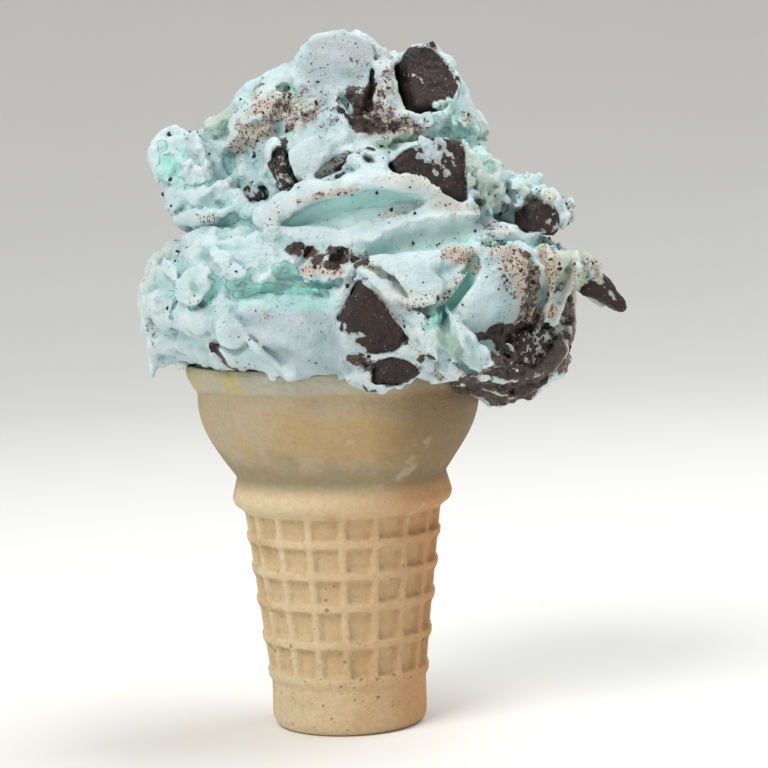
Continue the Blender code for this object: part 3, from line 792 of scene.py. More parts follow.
def sculpt_waves(heap):
    """The broad waves across the front of the lower scoop."""
    heap.groove([(-9.5, 110.8, .9, .9), (-2, 113, 2.1, 1.6), (6.5, 115, 2.5, 1.9), (15, 116, 2.2, 1.7),
                 (23, 116.5, 1.2, 1)], blend=2, calm=True, teal=.8)
    heap.groove([(3, 103.5, 1, 1.2), (10.5, 105.5, 1.8, 2), (18.5, 106.6, 2, 2.2), (27, 108.4, 1.8, 2),
                 (33.5, 110.5, 1.1, 1.2)], blend=2, calm=True, teal=.55)
    heap.rope([(-14, 111.5, 1.8, 1.6), (-9, 115.4, 2.8, 2), (-3.5, 117.6, 3, 2.2), (4.5, 119, 2.4, 2.4),
               (13, 119.2, 2.4, 2.4), (20.5, 117.6, 3.2, 2.4), (26.5, 114.4, 2.8, 2),
               (29.5, 112, 1.6, 1.6)], lift=.4, blend=1)
    heap.stain([(13, 120, 1.5), (19, 119, 2.6), (24.5, 116.5, 2.6), (28, 113.5, 2)], cream=.9, specks=.5)
    heap.stain([(-6, 115.6, 1), (0, 117, 1.1), (6, 117.4, .8)], cocoa=.75, cream=.7)
    heap.stain([(12, 111, 2.4), (19, 113, 2.6), (26, 113.6, 2.4)], cream=.8, cocoa=.3, specks=.8)
    heap.stain([(15, 105.5, 1.8), (22, 107, 2), (29, 109, 2)], cream=.55, specks=.5)
    heap.stain([(-13, 112, 1.6), (-8, 115, 1.6), (2, 119.6, 1.4)], cream=.35)
    heap.rope([(-11.5, 109.4, 1.1, 1.2), (-4, 108.4, 1.7, 1.8), (3, 108, 2, 2.2), (10.5, 109.6, 2, 2.2),
               (17.5, 110.8, 2, 2.2), (25, 112.6, 1.8, 1.8), (31, 113.6, 1.3, 1.3)], lift=.4, blend=1.4)
    heap.dab([(-2.5, 108, 1.8, 1.4, 1.4, 0), (1.8, 106.8, 2.2, 1.6, 1.4, 20), (8, 109, 2.2, 1.7, 1.4, 0),
              (13.5, 111.2, 1.7, 1.4, 1.2, 0), (20, 112, 2, 1.5, 1.3, 10), (27, 113, 1.8, 1.3, 1.1, 10)],
             lift=.3)
    heap.stain([(6, 110, 1.4), (12, 111.5, 1.6), (17, 113, 1.5)], grey=.5, specks=.8)
    heap.rope([(6, 102, 1.5, 1.6), (14.5, 102.4, 2, 2.2), (22.5, 102.5, 2.2, 2.2), (28.5, 103.5, 1.6, 1.6)],
              lift=.3, blend=1.6)
    heap.dab([(10, 103.2, 2, 1.4, 1.2, 0), (17, 103.2, 2.4, 1.7, 1.4, 0)], lift=.3)
    heap.stain([(24.5, 104.5, 2), (28, 103.6, 2.4), (29.5, 101, 1.8)], cocoa=1, cream=.5)
    heap.dab([(17.5, 98.6, 6.4, 3.2, 2.6, -22)], lift=.3, blend=2)
    heap.keep_calm((18, -38, 98.5, 6))
    heap.stain([(14, 96, 1.4), (18, 95.4, 1.6), (21, 96, 1.2)], cream=.7, cocoa=.35)
    heap.dab([(37, 98.5, 7, 8.5, 4, 15)], lift=-1.6, blend=2.5)
    heap.keep_calm((35.5, -33, 93, 10))
    heap.stain([(34.5, 107.5, 2), (37.5, 103.5, 3), (39, 99, 2.6), (40, 94.5, 1.8)], cocoa=1, cream=.7,
               specks=1)
    heap.stain([(33.5, 110, 2), (37, 108, 2)], cocoa=.6, specks=.8)
    heap.stain([(31, 112, 3), (36, 104, 5), (39, 96, 6), (41, 90, 5)], cocoa=.45, specks=.7, grey=.5)


def sculpt_cuts(heap):
    """Crisp cuts and thin edges, made after the broad forms are pushed about."""
    heap.groove([(29.9, 102.8, .5, 1.6), (28.5, 99.6, 1.1, 3), (26.2, 96.6, 1.5, 3.6), (23.8, 94, 1.9, 3.8),
                 (21.6, 91.6, 2, 3.8), (19.2, 90, 1.5, 2.8)], blend=.4, calm=True, teal=1, olive=.2)
    heap.rope([(28.8, 102.4, .4, .7), (26.9, 99.8, .6, 1.2), (24.5, 97.2, .7, 1.3), (22, 94.9, .7, 1.3),
               (19.6, 93.4, .5, .8)], lift=.5, blend=.5, cream=.5, cocoa=.6, specks=.8)
    heap.groove([(13.6, 94.3, .7, 1.8), (17, 93.3, 1, 2.8), (20.4, 93.2, .9, 2.2)], blend=.8, grey=.9,
                cocoa=.2)
    heap.rope([(15, 95.8, .9, 1.3), (17.2, 95.2, 1.1, 1.9), (19.6, 95.2, 1.1, 1.9), (22, 96, .8, 1.3)],
              lift=.3, blend=.9, cream=.7, cocoa=.3)
    heap.rope([(5.6, 101.6, .8, 1.2), (9.2, 99.8, 1.2, 1.8), (12, 97.2, 1.4, 2.2), (14, 94.6, 1.4, 2.2),
               (15.6, 92, 1.3, 2), (16.4, 89.5, .9, 1.4)], lift=.5, blend=1)
    heap.groove([(7.5, 102.2, .35, 1), (10.2, 101, .45, 1.8), (12.2, 99.7, .5, 2.2), (13.9, 97.6, .5, 2.2),
                 (15.4, 95.8, .4, 1.3)], blend=.4, cream=.8, cocoa=.35)
    heap.groove([(-21, 99.5, .6, 1.6), (-19.3, 98.2, .9, 3), (-16.5, 98.5, 1, 3.6), (-13.5, 99, 1.1, 3.8),
                 (-11, 99, 1.1, 3.8), (-8, 99.4, 1.1, 3.6), (-5, 99, 1.1, 3.4), (-2, 98.5, 1, 3),
                 (1.4, 98.7, .7, 1.6)], blend=.5, teal=.9)
    heap.groove([(-8.2, 103.2, .5, 1.4), (-7.4, 100.8, .8, 2.6)], blend=.5, teal=1)
    heap.groove([(-24.5, 100.8, .5, 1.6), (-23.9, 99, .7, 2.8), (-24.9, 97, .7, 2.8),
                 (-26.6, 95.5, .6, 2.2), (-28.8, 94.6, .4, 1)], blend=.4, teal=1)
    heap.groove([(-34.6, 100.4, .5, 1.8), (-34.6, 98.5, .5, 2), (-34.4, 96.8, .4, 1)], blend=.5, teal=1)
    heap.groove([(-32.4, 96.2, .5, 1.5), (-33, 94.5, .6, 2), (-33.6, 92.8, .4, 1)], blend=.5, teal=.9)
    heap.groove([(-2, 121, .4, 1.4), (1, 122.8, .8, 2.8), (4.5, 125, .5, 1.6)], blend=.6, cocoa=.8, teal=.6,
                specks=.8, paste=.5)


def sculpt_petal(heap):
    """The thin petal low on the right of the front, with painted shadow beside its wall, and the dark paste
    beyond it, darkened further by painted shade.
    """
    heap.groove([(22.4, 90.6, 1, 1.8), (23, 87.6, 1.5, 2.4), (24.4, 84.8, 1.8, 2.6), (26.6, 82.6, 1.7, 2.4),
                 (29.2, 81.2, 1, 1.6)], blend=.4, calm=True, olive=.6, teal=.3)
    heap.rope([(20.8, 92.6, .3, 1), (20.5, 90, .7, 2.2), (20.3, 87.2, 1, 2.8), (20.9, 84.4, 1.2, 3.2),
               (22.4, 81.6, 1.4, 3.4), (24.8, 79.6, 1.4, 3.4), (27.8, 78.5, 1.3, 3), (30.6, 78.6, 1.1, 2.6),
               (32.6, 79.8, .7, 1.6)], lift=.9, blend=.5)
    heap.rope([(23.8, 92.6, .35, 1.4), (24.7, 89.8, .5, 2), (26.1, 86.8, .5, 2.2), (27.8, 84.2, .5, 2.2),
               (29.6, 82.4, .55, 2.2), (31.6, 81.8, .6, 2), (33.4, 82.8, .6, 1.8), (34.2, 84.2, .5, 1.4),
               (33.2, 85, .4, 1)], lift=.8, blend=.35, olive=.2)
    heap.stain([(26.5, 79.4, 1.3), (28.4, 78.8, 1.5), (30.4, 79, 1.5), (32.2, 80, 1.2)], cocoa=.8, cream=1,
               specks=.6)
    heap.stain([(17.6, 87, .9), (18.2, 84, 1), (19.4, 81, 1.1), (22, 78, 1.2)], shade=1, cocoa=.8, specks=1)
    heap.rope([(17.6, 92, .5, 1.2), (18, 89.5, .8, 2), (18.5, 87.4, .8, 2), (18.8, 85, .6, 1.4)], lift=.8,
              blend=.5, cream=.3, cocoa=.3)
    heap.stain([(28.8, 87, .8), (30.4, 85.8, 1.3), (32.8, 86.6, 1.6), (36.6, 87, 1.8)], paste=1, cocoa=1)
    heap.stain([(16.2, 88.2, 1), (14.6, 85.2, 1), (17.2, 82.8, 1.4), (20, 83.4, 1.2)], paste=1, cocoa=1)
    heap.rope([(11.5, 85, .8, 1), (14.5, 83.8, 1.1, 1.4), (17, 82.4, 1.1, 1.4), (19.6, 80.8, .8, 1)],
              lift=.6, blend=.5)
    heap.rope([(32, 73.4, .9, 1.1), (33.4, 71, 1, 1.2), (34.6, 68.6, .6, .8)], blend=1, teal=.7)
    heap.stain([(34, 88, 1.6), (38, 87, 2.6), (42, 86, 2.4)], cocoa=1, specks=1, paste=1)
    heap.stain([(36, 80.6, 2.2), (40.6, 80.8, 2.4), (44.6, 82.6, 2)], cocoa=1, specks=1, grey=.5, paste=.95)
    heap.stain([(35, 76.4, 2), (39, 76.6, 2.4), (43.4, 78.8, 2)], cocoa=1, specks=1, grey=.4, paste=.7)
    heap.stain([(22, 77, 1.6), (27, 76.6, 2.2), (32, 76, 2)], cocoa=1, specks=1, paste=.7)
    heap.stain([(49, 92, 3), (49.4, 86, 3.4), (47.4, 80.4, 3.4), (44.4, 76, 3), (40, 72.6, 2.4)], cocoa=1,
               olive=1, cream=.8, specks=1, paste=.6, shade=.8)
    heap.stain([(44, 103, 2.4), (46.4, 97, 2.8)], cocoa=.7, olive=.7, cream=.8, specks=.9)
    heap.stain([(39.5, 104.4, 1.6), (41.6, 100, 2), (41.4, 95.4, 2.2), (40, 90.4, 2.4)], cocoa=1, olive=.6,
               cream=.8, paste=.55, specks=1)
    heap.stain([(33, 86.4, 2), (37, 84, 3), (41.6, 84.4, 3), (44.6, 88, 2.4)], paste=1, cocoa=1)
    heap.stain([(33.6, 79.6, 2), (38, 79, 3), (43, 80.6, 3)], paste=.85, cocoa=1)
    heap.stain([(25, 75, 1.8), (31, 73.4, 2), (37, 71.6, 2.4), (42.6, 73.6, 2.4)], cocoa=1, olive=1,
               cream=.8, specks=1, paste=.72, shade=.9)
    for line in ([(34, 81.6), (38.5, 82.4), (43, 84.4), (47, 87.6)],
                 [(35.2, 77.8), (40, 78.8), (44, 81.4), (47.2, 85)],
                 [(36, 73.8), (40.5, 75.2), (44.6, 78), (47.4, 82.4)]):
        heap.rope([(a, b, w, 1.5 * w) for (a, b), w in zip(line, (.4, .6, .6, .4))], lift=.8, blend=.5,
                  cream=.9, cocoa=.8, specks=.6)
    heap.stain([(-16, 78, 4), (-8, 80, 4), (0, 79, 3.4)], side="right", cocoa=.9, specks=1, paste=.6)
    heap.crumble((38.5, 84), (6, 4), 200, (.3, 1), 20, cocoa=.95, paste=.7)
    heap.crumble((37.5, 77.5), (8, 4), 200, (.3, 1), 21, cocoa=.9, paste=.6)
    heap.groove([(33, 87.5, .8, 1.4), (37.5, 86.4, 1, 2), (43, 87.5, .8, 1.6)], cocoa=1, specks=1, paste=1)
    for across, tall in ((33.5, 83.4), (41, 86.4), (43.5, 80), (34.6, 79.4)):
        heap.rope([(across, tall, .35, .6), (across + 2, tall + .9, .5, .9),
                   (across + 3.6, tall - .8, .3, .6)], lift=.6, blend=.5, cream=.6, cocoa=.6)
    heap.groove([(42.6, 102, .5, 1.8), (42.6, 97.5, .7, 2.8), (41.6, 93, .8, 3), (39.8, 89, .8, 2.6)],
                blend=.6, cocoa=.9, grey=.4, paste=.4)
    heap.rope([(44, 104, .8, 1.4), (45.2, 99.5, 1.1, 2.2), (44.9, 95, 1.1, 2.2), (43.6, 91, .9, 1.6),
               (41.4, 87.6, .6, 1)], lift=.5, blend=.8, cream=.8, cocoa=.5)
    heap.rope([(46.6, 98, .8, 1.2), (45.6, 93.5, 1, 1.8), (43.4, 89.4, 1, 1.8), (41, 86, .7, 1)], lift=.4,
              blend=.7, cream=.4, grey=.6, cocoa=.3)
    heap.groove([(47, 103, .5, 1.4), (47.8, 97, .6, 2), (48.2, 91, .6, 2), (46.4, 85, .6, 1.6),
                 (43, 80, .5, 1)], blend=.6, cocoa=.9, paste=.3)
    heap.rope([(49, 100, .8, 1), (50.2, 92.5, 1, 1.5), (49.4, 85.5, 1, 1.5), (46.4, 79, .8, 1.1)], lift=.4,
              cream=1, cocoa=.5, olive=.7)


def stain_right(heap):
    """Brown and olive smears over the folds low on the right, and shade under the bulges."""
    heap.stain([(10, 94, 2.2), (13, 93, 2.8), (16.4, 92.6, 2.8), (19, 93.4, 2)], shade=.8, cocoa=.35,
               specks=1, grey=.5)
    heap.stain([(36.6, 98, 2.6), (37.4, 93.6, 3), (35, 89.8, 2.8)], shade=.8, specks=1, teal=.3)
    heap.stain([(41, 103.6, 2.2), (42.8, 98, 2.6), (42.4, 93, 2.6), (41.4, 88.6, 2.6)], cocoa=.9, cream=.9,
               olive=.4, paste=.5, shade=.5)
    heap.stain([(45.6, 101, 1.8), (46.6, 96, 2), (46, 90.6, 2)], cocoa=.8, cream=.9, olive=.8, specks=1)
    heap.stain([(30.6, 86.4, 1.4), (32.8, 84.4, 1.4), (34.4, 82.2, 1.4)], paste=1.4, cocoa=1)
    heap.stain([(47.6, 84, 2.6), (45, 79, 3), (41, 75.6, 3), (35, 74.6, 3), (29, 75.6, 2)], paste=.78,
               cocoa=1, olive=1, cream=.8, shade=.8)
    heap.stain([(24, 75.6, 1.6), (28, 73.4, 2), (34, 71.6, 2.2), (40, 72, 2)], paste=.66, cocoa=1, olive=1,
               cream=.8, shade=.9)


def sculpt_brow(heap):
    """The shelf of ice cream over the smooth belly, and the crumbly left side."""
    heap.rope([(-22.5, 104, 1.3, 1.4), (-20, 102, 1.7, 2.2), (-17.5, 101, 1.9, 2.8), (-14.5, 101, 2, 3),
               (-11.5, 101.4, 2, 3), (-9, 103, 1.6, 2.4), (-7.6, 105.4, 1.2, 1.4)], lift=.9, blend=1.2)
    heap.crumble((-13, 99.8), (8, 1.2), 130, (.3, .9), 30, lift=.5)
    heap.crumble((-12, 99), (9, 1.4), 60, (.3, .8), 31, carve=True, teal=.9)
    heap.rope([(-21.6, 94.2, .8, .8), (-19.4, 92, 1.1, 1.2), (-17.4, 89.4, 1.2, 1.5), (-15, 86.5, 1.2, 1.5),
               (-12.8, 84.2, 1, 1.3), (-10, 81, .7, .8)], lift=.3, blend=1, grey=.3)
    heap.groove([(-20.4, 94.4, .5, .7), (-18.2, 92, .6, 1.2), (-16, 89.2, .6, 1.3), (-13.4, 86.2, .6, 1.3),
                 (-10.8, 83.2, .5, .8)], blend=.7, grey=.6)
    heap.rope([(-18.6, 91, .8, .7), (-13, 88.4, 1.2, 1), (-8, 86.6, 1.1, .9), (-3, 83, .8, .6)], blend=1.2,
              grey=1)
    heap.groove([(-24.6, 87.6, .4, .8), (-22.5, 86, .6, 1.3), (-19.8, 85.5, .6, 1.3), (-17.4, 87, .4, .8)],
                blend=.7, grey=.5)
    heap.stain([(-24.6, 86.2, .8), (-23, 84.2, 1.1), (-20.8, 81.4, .9)], paste=1, cocoa=1)
    heap.stain([(-16, 91, 4), (-10, 89, 6), (-4, 86, 6.5), (1, 83, 5)], grey=.95, cream=.25)
    # Turquoise band just under the shelf: painted shade.
    heap.stain([(-19, 96.4, 2.2), (-12, 96.4, 3), (-4, 96, 3.2), (1, 95.4, 2)], teal=.6)
    heap.groove([(-19.5, 97.6, .6, 1.4), (-14, 98.2, .8, 2), (-8, 98, .8, 2.2), (-2, 97.6, .6, 1.6)],
                blend=.8, teal=1)
    heap.stain([(-26, 81, 3), (-16, 78.6, 3), (-6, 77.4, 3), (2, 77, 2)], shade=.7, grey=.7)
    heap.stain([(-4, 93, 2.4), (-1, 88, 3), (-1, 83, 3.4), (-6, 80.4, 3)], shade=.55)
    heap.stain([(-14, 93.6, .6), (-13.4, 91.6, .6)], cocoa=1, specks=1, grey=.5)
    heap.stain([(-24, 84, 1.4), (-14, 80.4, 1.4), (-6, 79, 1.4), (2, 78.4, 1.4)], grey=.6, specks=.8,
               cocoa=.35)
    heap.keep_calm((-12, -35, 88, 10), (-3, -37, 88, 11))
    heap.dab([(-4, 104.3, 2.4, 1.3, 2, 0), (1.5, 103.6, 2.6, 1.4, 2, 10), (-7.5, 106.2, 2, 1, 1.6, 0)],
             carve=True, cocoa=.9, olive=.7, specks=1, paste=.8)
    heap.rope([(-5.5, 101.2, .9, 1), (-2, 101.8, 1.3, 1.3), (2, 100.4, 1, 1)], lift=.5, cocoa=.7, cream=1)
    heap.rope([(-2.8, 99.2, .8, .9), (.2, 99.9, 1, 1.1), (3, 99.4, .7, .8)], lift=.4, grey=.7)
    heap.stain([(-7.5, 105.5, 1.2), (-5, 106, 1)], olive=1)
    heap.crumble((2, 104), (5.5, 2), 130, (.3, .9), 34, lift=.3, cocoa=.9, specks=1, paste=.7)
    heap.crumble((6, 80.5), (9, 3.4), 260, (.3, 1.1), 35, lift=.3, grey=.3)
    heap.rope([(3.6, 79.4, .9, 1.2), (6.4, 79, 1.4, 2), (9.4, 79.4, 1.1, 1.6)], lift=.6, blend=.7, cream=.4,
              grey=.6, specks=.8)
    heap.stain([(5, 77.4, .8), (8, 77.2, .9)], paste=1)
    heap.stain([(3.4, 83.6, 1), (5.4, 83.6, 1)], paste=1)
    heap.stain([(4, 83.5, 1.4), (8, 81, 2), (12, 79, 2.4), (16, 80.5, 2)], cocoa=.8, specks=1, paste=.6)
    heap.dab([(-28, 99.5, 4.4, 4, 2.6, 0)], lift=.3, blend=1.6)
    heap.rope([(-29.4, 102.4, .8, 1.3), (-31.4, 100.6, 1, 2.2), (-30.8, 98.2, 1.1, 2.4),
               (-28.6, 96.6, 1, 2.2), (-26.6, 97.2, .8, 1.5)], lift=.9, blend=.8, cream=.2)
    heap.groove([(-28.8, 101.8, .5, 1.1), (-28.4, 99.6, .8, 1.9), (-27.2, 98.4, .5, 1.1)], blend=.8,
                teal=.5, olive=.3)
    heap.rope([(-29.6, 103, .8, 1.3), (-27.2, 102.8, 1.1, 2.1), (-25.2, 101.6, 1.1, 2.1),
               (-23.6, 99.4, 1, 1.9), (-23.4, 96.8, .8, 1.4)], lift=.6, blend=1)
    heap.dab([(-28, 91.6, 3.8, 3.4, 2.4, 0), (-21, 90, 3.4, 3.8, 1.8, 0)], lift=.2, blend=1.4)
    heap.groove([(-30.6, 89.6, .4, 1), (-28.4, 88.2, .6, 1.5), (-25.8, 89.2, .4, 1.2)], blend=.7, grey=.5)
    heap.rope([(-37, 97, .9, 1.2), (-36.6, 92.4, 1.2, 1.8), (-34.8, 88.4, 1.1, 1.6),
               (-31.6, 85.4, .9, 1.2)], lift=.4, blend=1.2)
    heap.rope([(-37.4, 104, .9, 1.1), (-34, 102.4, 1.2, 1.8), (-33, 99.4, 1, 1.6)], lift=.5, blend=1.2)
    heap.rope([(-26, 107, .9, 1.1), (-22.4, 105.4, 1.3, 1.7), (-21.4, 101.6, 1.1, 1.5),
               (-20.4, 98.4, .8, 1)], lift=.4, blend=1)
    heap.keep_calm((-28, -31, 99, 7), (-28, -31, 91, 7), (-21, -34, 89, 7), (-34, -25, 102, 5))
    heap.crumble((-29, 95), (9, 11), 70, (.3, .8), 36, lift=.3, specks=.4)
    heap.stain([(-37, 107, 2), (-33, 107, 2.4), (-29, 106, 2)], grey=.3, specks=.9)
    heap.groove([(-36, 103.5, .6, 1.2), (-34.4, 106.5, .6, 1.4)], olive=.8, teal=.6)
    heap.stain([(-39.5, 90, 1.6), (-38, 86.5, 1.4)], cocoa=.6, specks=1)
    heap.stain([(-22, 82.5, 1.4), (-17, 80.5, 1.6), (-12, 79.5, 1.2)], cocoa=.6, specks=1)


def sculpt_free(heap, side, seed, folds, patches, low, high):
    """Folds with a trough under each, and crumbly patches, where no side's strokes are listed one by one.
    """
    chance = np.random.default_rng(seed)
    for _ in range(folds):
        across, up = chance.uniform(low, high)
        slope = chance.uniform(-35, 35)
        length = chance.uniform(12, 26)
        wide = chance.uniform(1.3, 2.5)
        bend = chance.uniform(-4, 4)
        crest, trough = [], []
        for along in (-.5, -.17, .17, .5):
            a = across + length * along * math.cos(math.radians(slope))
            b = up + length * along * math.sin(math.radians(slope)) + bend * (.25 - along ** 2)
            size = wide * (1.1 - along ** 2 * 1.8)
            crest.append((a, b, size, size * 1.1))
            trough.append((a + .3, b - 2.1 * wide, size * .7, size))
        try:
            heap.groove(trough, blend=1.4, side=side, teal=float(chance.uniform(.4, 1)))
            heap.rope(crest, lift=.5, blend=1.3, side=side, cream=float(chance.uniform(0, .3)))
        except ValueError:
            continue
    for number in range(patches):
        spot = chance.uniform(low, high)
        wide = chance.uniform(3, 7)
        dirty = float(chance.uniform(0, 1))
        stain = {"cocoa": .9, "specks": 1} if dirty > .7 else {"specks": .5, "teal": .2}
        heap.crumble(spot, wide, int(8 * wide ** 1.6), (.3, 1), seed + number, .3,
                     side=side, **stain)
        heap.crumble(spot, wide, int(2 * wide ** 1.4), (.3, .9), seed + 50 + number, 0, True,
                     side=side, teal=.8)


RIM = 80.8
FLOOR_OF_HEAP = 73.0            # inside the cup
LOWEST_DRIP = 64.5
WALL_HEIGHTS = (62.0, 67.0, 72.8, 75.1, 75.6, 77.9, 79.9, 90.0)
WALL_OUTSIDE = (27.5, 29.9, 31.0, 31.0, 31.6, 33.0, 33.5, 33.5)
WALL_THICKNESS = 2.1
COARSE = 1.6                    # step of a solid's own grid
MARGIN = 6.0                    # clear space round a solid in its grid
FINE = 0.45
COOKIE_FINE = 0.3
COOKIE_COARSE = 0.8
COOKIE_MARGIN = 4.0
COOKIE_EDGE = 2.5               # how much of that margin the finer grid leaves out
COOKIE_SWELL = 0.15
SEAT_SWELL = 0.5                # ice cream drawn up round each cookie
SEAT_BLEND = 1.5
OPEN_SPACE = 6.0                # kept clear in front of each cookie
HALF_BURIED = ("cookie_right", "cookie_sliver")
DEEPEST_FREE_CUT = 0.7
DEEPEST_CUT = 1.8
# Side, seed, folds, crumbly patches, and the corners of the area that they lie in
FREE_SIDES = (("back", 5, 16, 12, (-34, 84), (42, 142)), ("left", 6, 12, 8, (-22, 84), (30, 140)),
              ("right", 7, 12, 9, (-22, 80), (30, 138)), ("top", 8, 6, 5, (-12, -14), (26, 22)))


@lru_cache(maxsize=None)
def cookie_clay(name):
    """Distance to one cookie's solid."""
    return clay_from(name, COOKIE_COARSE, COOKIE_MARGIN)


def cookie_distance(clay, name, away=0.0):
    """A cookie's distance over its part of a clay, also moved out of its seat to the front."""
    seat = cookie_clay(name)
    spans = clay.part(seat.low - away, [axis[-1] + away for axis in seat.axes])[0]
    depth, way = SIDES["front"][2:]
    best = None
    for move in np.arange(0, away + 0.1, 1.2):
        here = refine(seat, [clay.axes[k][spans[k]] + (way * move if k == depth else 0)
                             for k in range(3)])
        best = here if best is None else np.minimum(best, here)
    return spans, best


def clear_cookies(heap):
    """Cut the ice cream back from each cookie and from the space in front of it."""
    clay = heap.clay
    for name in COOKIES:
        buried = 1.0 if name in HALF_BURIED else 0.1
        spans, distance = cookie_distance(clay, name, OPEN_SPACE)
        shape = clay.field[spans].shape
        x, y, z = [axis[span] for axis, span in zip(clay.axes, spans)]
        grid = np.stack(np.meshgrid(x, y, z, indexing="ij"), axis=-1).reshape(-1, 3)
        near = np.abs(distance.ravel()) < 3
        ragged = np.zeros(len(grid), dtype=np.float32)
        ragged[near] = buried + 0.6 * rumple(grid[near], 2.6, 3, 0.6)
        clay.cut(spans, distance + ragged.reshape(shape), 0.3)
        spans, distance = cookie_distance(clay, name)
        clay.cut(spans, distance, 0)


def smear_cookies(heap):
    """Ice cream smeared over the faces of some cookies."""
    middle, front, top = [cookie_clay(f"cookie_{name}") for name in ("middle", "front", "top")]
    heap.rope([(20, 127.6, 1.2, .6), (21.6, 125.6, 1.6, .7), (22.4, 122.6, 1.2, .6), (24.2, 120.4, .6, .4)],
              over=middle, blend=.5, grey=.8, specks=.9)
    heap.crumble((21.4, 125.6), (3.2, 2.8), 170, (.2, .7), 41, lift=.3, over=middle, grey=.8, specks=.8)
    heap.crumble((24, 122.6), (2.8, 3), 60, (.15, .5), 42, lift=.3, over=middle, grey=.8)
    heap.rope([(1, 90.4, .9, .5), (1.8, 88.4, 1.3, .7), (3, 86.4, 1.6, .8), (5.6, 84.9, 1, .6)], .1,
              over=front, blend=.5, grey=.7)
    heap.crumble((2.2, 87.4), (2.4, 3.4), 110, (.2, .7), 43, lift=.3, over=front, grey=.6)
    heap.crumble((5, 88.4), (1.4, .8), 14, (.2, .5), 44, lift=.3, over=front)
    heap.crumble((8, 98.6), (1, 1), 5, (.3, .6), 48, lift=.3, over=front, teal=.3)
    heap.crumble((18.4, 141.6), (1.6, .7), 12, (.15, .45), 45, lift=.3, over=top, cream=.3)
    heap.crumble((19.6, 139.8), (.7, .8), 10, (.2, .5), 46, lift=.3, over=top)
    heap.crumble((25, 134.4), (2.6, 1.8), 70, (.3, 1), 47, lift=.3, over=top, teal=.3)
    low, slab, wedge, side = [cookie_clay(f"cookie_{name}")
                              for name in ("right", "slab", "wedge", "knob")]
    heap.crumble((40.5, 84), (4.5, 4.5), 110, (.3, 1), 61, lift=.1, over=low, paste=1.8, cocoa=1)
    heap.crumble((-8.8, 122), (1.8, 4.4), 70, (.2, .6), 62, lift=.1, over=slab, paste=.9, cocoa=1)
    heap.rope([(-6.4, 126.4, .8, .8), (-6.4, 123, 1.1, 1), (-5.9, 119.6, 1.2, 1), (-5, 117.6, .8, .8)],
              over=slab, blend=.5)
    heap.crumble((-15, 118), (2.2, 1.8), 34, (.2, .6), 63, lift=.2, over=wedge, grey=.8, specks=.8)
    heap.crumble((45.6, 109.6), (2.4, 2), 14, (.2, .6), 64, lift=.2, over=side, cocoa=1, paste=.9)
    heap.rope([(45.5, 101.5, 1.4, 1.6), (49, 101.4, 1.7, 1.7), (52, 101.6, 1.8, 1.7), (55, 100.2, 1.7, 1.5),
               (56.8, 97.4, 1.3, 1.2), (58.8, 94.6, .8, .9), (60.6, 92.2, .4, .5)], lift=.3, olive=.5,
              cream=1)
    heap.rope([(47.5, 98.4, 1.7, 1.4), (51.5, 97.4, 1.8, 1.5), (54, 95.4, 1.5, 1.3), (56.4, 92.8, 1, .9),
               (58.4, 90.8, .5, .6)], lift=.2, olive=.8, cream=.8)
    heap.rope([(50.6, 102.6, .5, .8), (50, 99.5, .7, 1.2), (48.6, 96, .7, 1.2), (47.4, 92.6, .5, .8)],
              lift=1.3, blend=.4, cream=1)
    heap.crumble((54, 98.6), (4, 3), 60, (.3, .8), 49, lift=.5, cream=.9, cocoa=.4, specks=.6)


def keep_off_cup(clay):
    """Leave the cup's wall free, and end the ice cream inside the cup."""
    x, y, z = [axis.reshape([-1 if k == number else 1 for k in range(3)])
               for number, axis in enumerate(clay.axes)]
    radius = np.sqrt(x * x + y * y)
    outside = np.interp(clay.axes[2], WALL_HEIGHTS, WALL_OUTSIDE).astype(np.float32)
    outside = outside[None, None, :]
    wall = np.maximum(np.maximum(radius - outside, outside - WALL_THICKNESS - 0.3 - radius), z - RIM)
    clay.field = np.maximum(clay.field, 0.2 - wall)
    beside = (z < 75.3) & (radius > outside - 1) & (radius < outside + 0.5)
    clay.field = np.where(beside, np.maximum(clay.field, 0.5), clay.field)
    within = radius < outside - WALL_THICKNESS / 2
    clay.field = np.where(within, np.maximum(clay.field, FLOOR_OF_HEAP - z), clay.field)


@lru_cache(maxsize=1)
def shaped_heap():
    """The finished clay of both scoops, and the field that parts the lower from the upper."""
    scoops = [clay_from("scoop_lower", COARSE, MARGIN, LOWEST_DRIP),
              clay_from("scoop_upper", COARSE, MARGIN)]
    heap = Heap(FINE, scoops)
    clay = heap.clay
    lower, upper = [refine(scoop, clay.axes) for scoop in scoops]
    clay.field = np.minimum(lower, upper) - 0.2
    for name in COOKIES:
        if name != "cookie_spike":
            spans, distance = cookie_distance(clay, name)
            clay.join(spans, distance - SEAT_SWELL, SEAT_BLEND)
    parting = soften(lower - upper, 2)
    first = clay.field.copy()
    for side in FREE_SIDES:
        sculpt_free(heap, *side)
    clay.field = np.maximum(clay.field, first - DEEPEST_FREE_CUT)
    for sculpt in (sculpt_crown, sculpt_left_lobe, sculpt_right_knob, sculpt_waves, sculpt_brow):
        sculpt(heap)
    heap.smudge(1.5, 0.7)
    sculpt_cuts(heap)
    sculpt_petal(heap)
    heap.smudge(0.5, 0.4)
    stain_right(heap)
    heap.roughen(0.55, 0.34, 0.36, 0.34)
    clay.field = np.maximum(clay.field + 0.1, first - DEEPEST_CUT)
    heap.rope([(-39, 86.5, 1.7, 1.7), (-39.6, 83.5, 1.1, 1.1), (-40, 80.5, .8, .8), (-40.1, 79, .5, .5)],
              blend=1)
    clear_cookies(heap)
    smear_cookies(heap)
    keep_off_cup(clay)
    for axis in range(3):
        edge = [slice(None)] * 3
        for end in (0, -1):
            edge[axis] = end
            clay.field[tuple(edge)] = 1.0
    return heap, parting


HOLLOW_REACHES = (1.2, 3.2)     # narrow and broad hollows are painted darker and more turquoise: painted shade
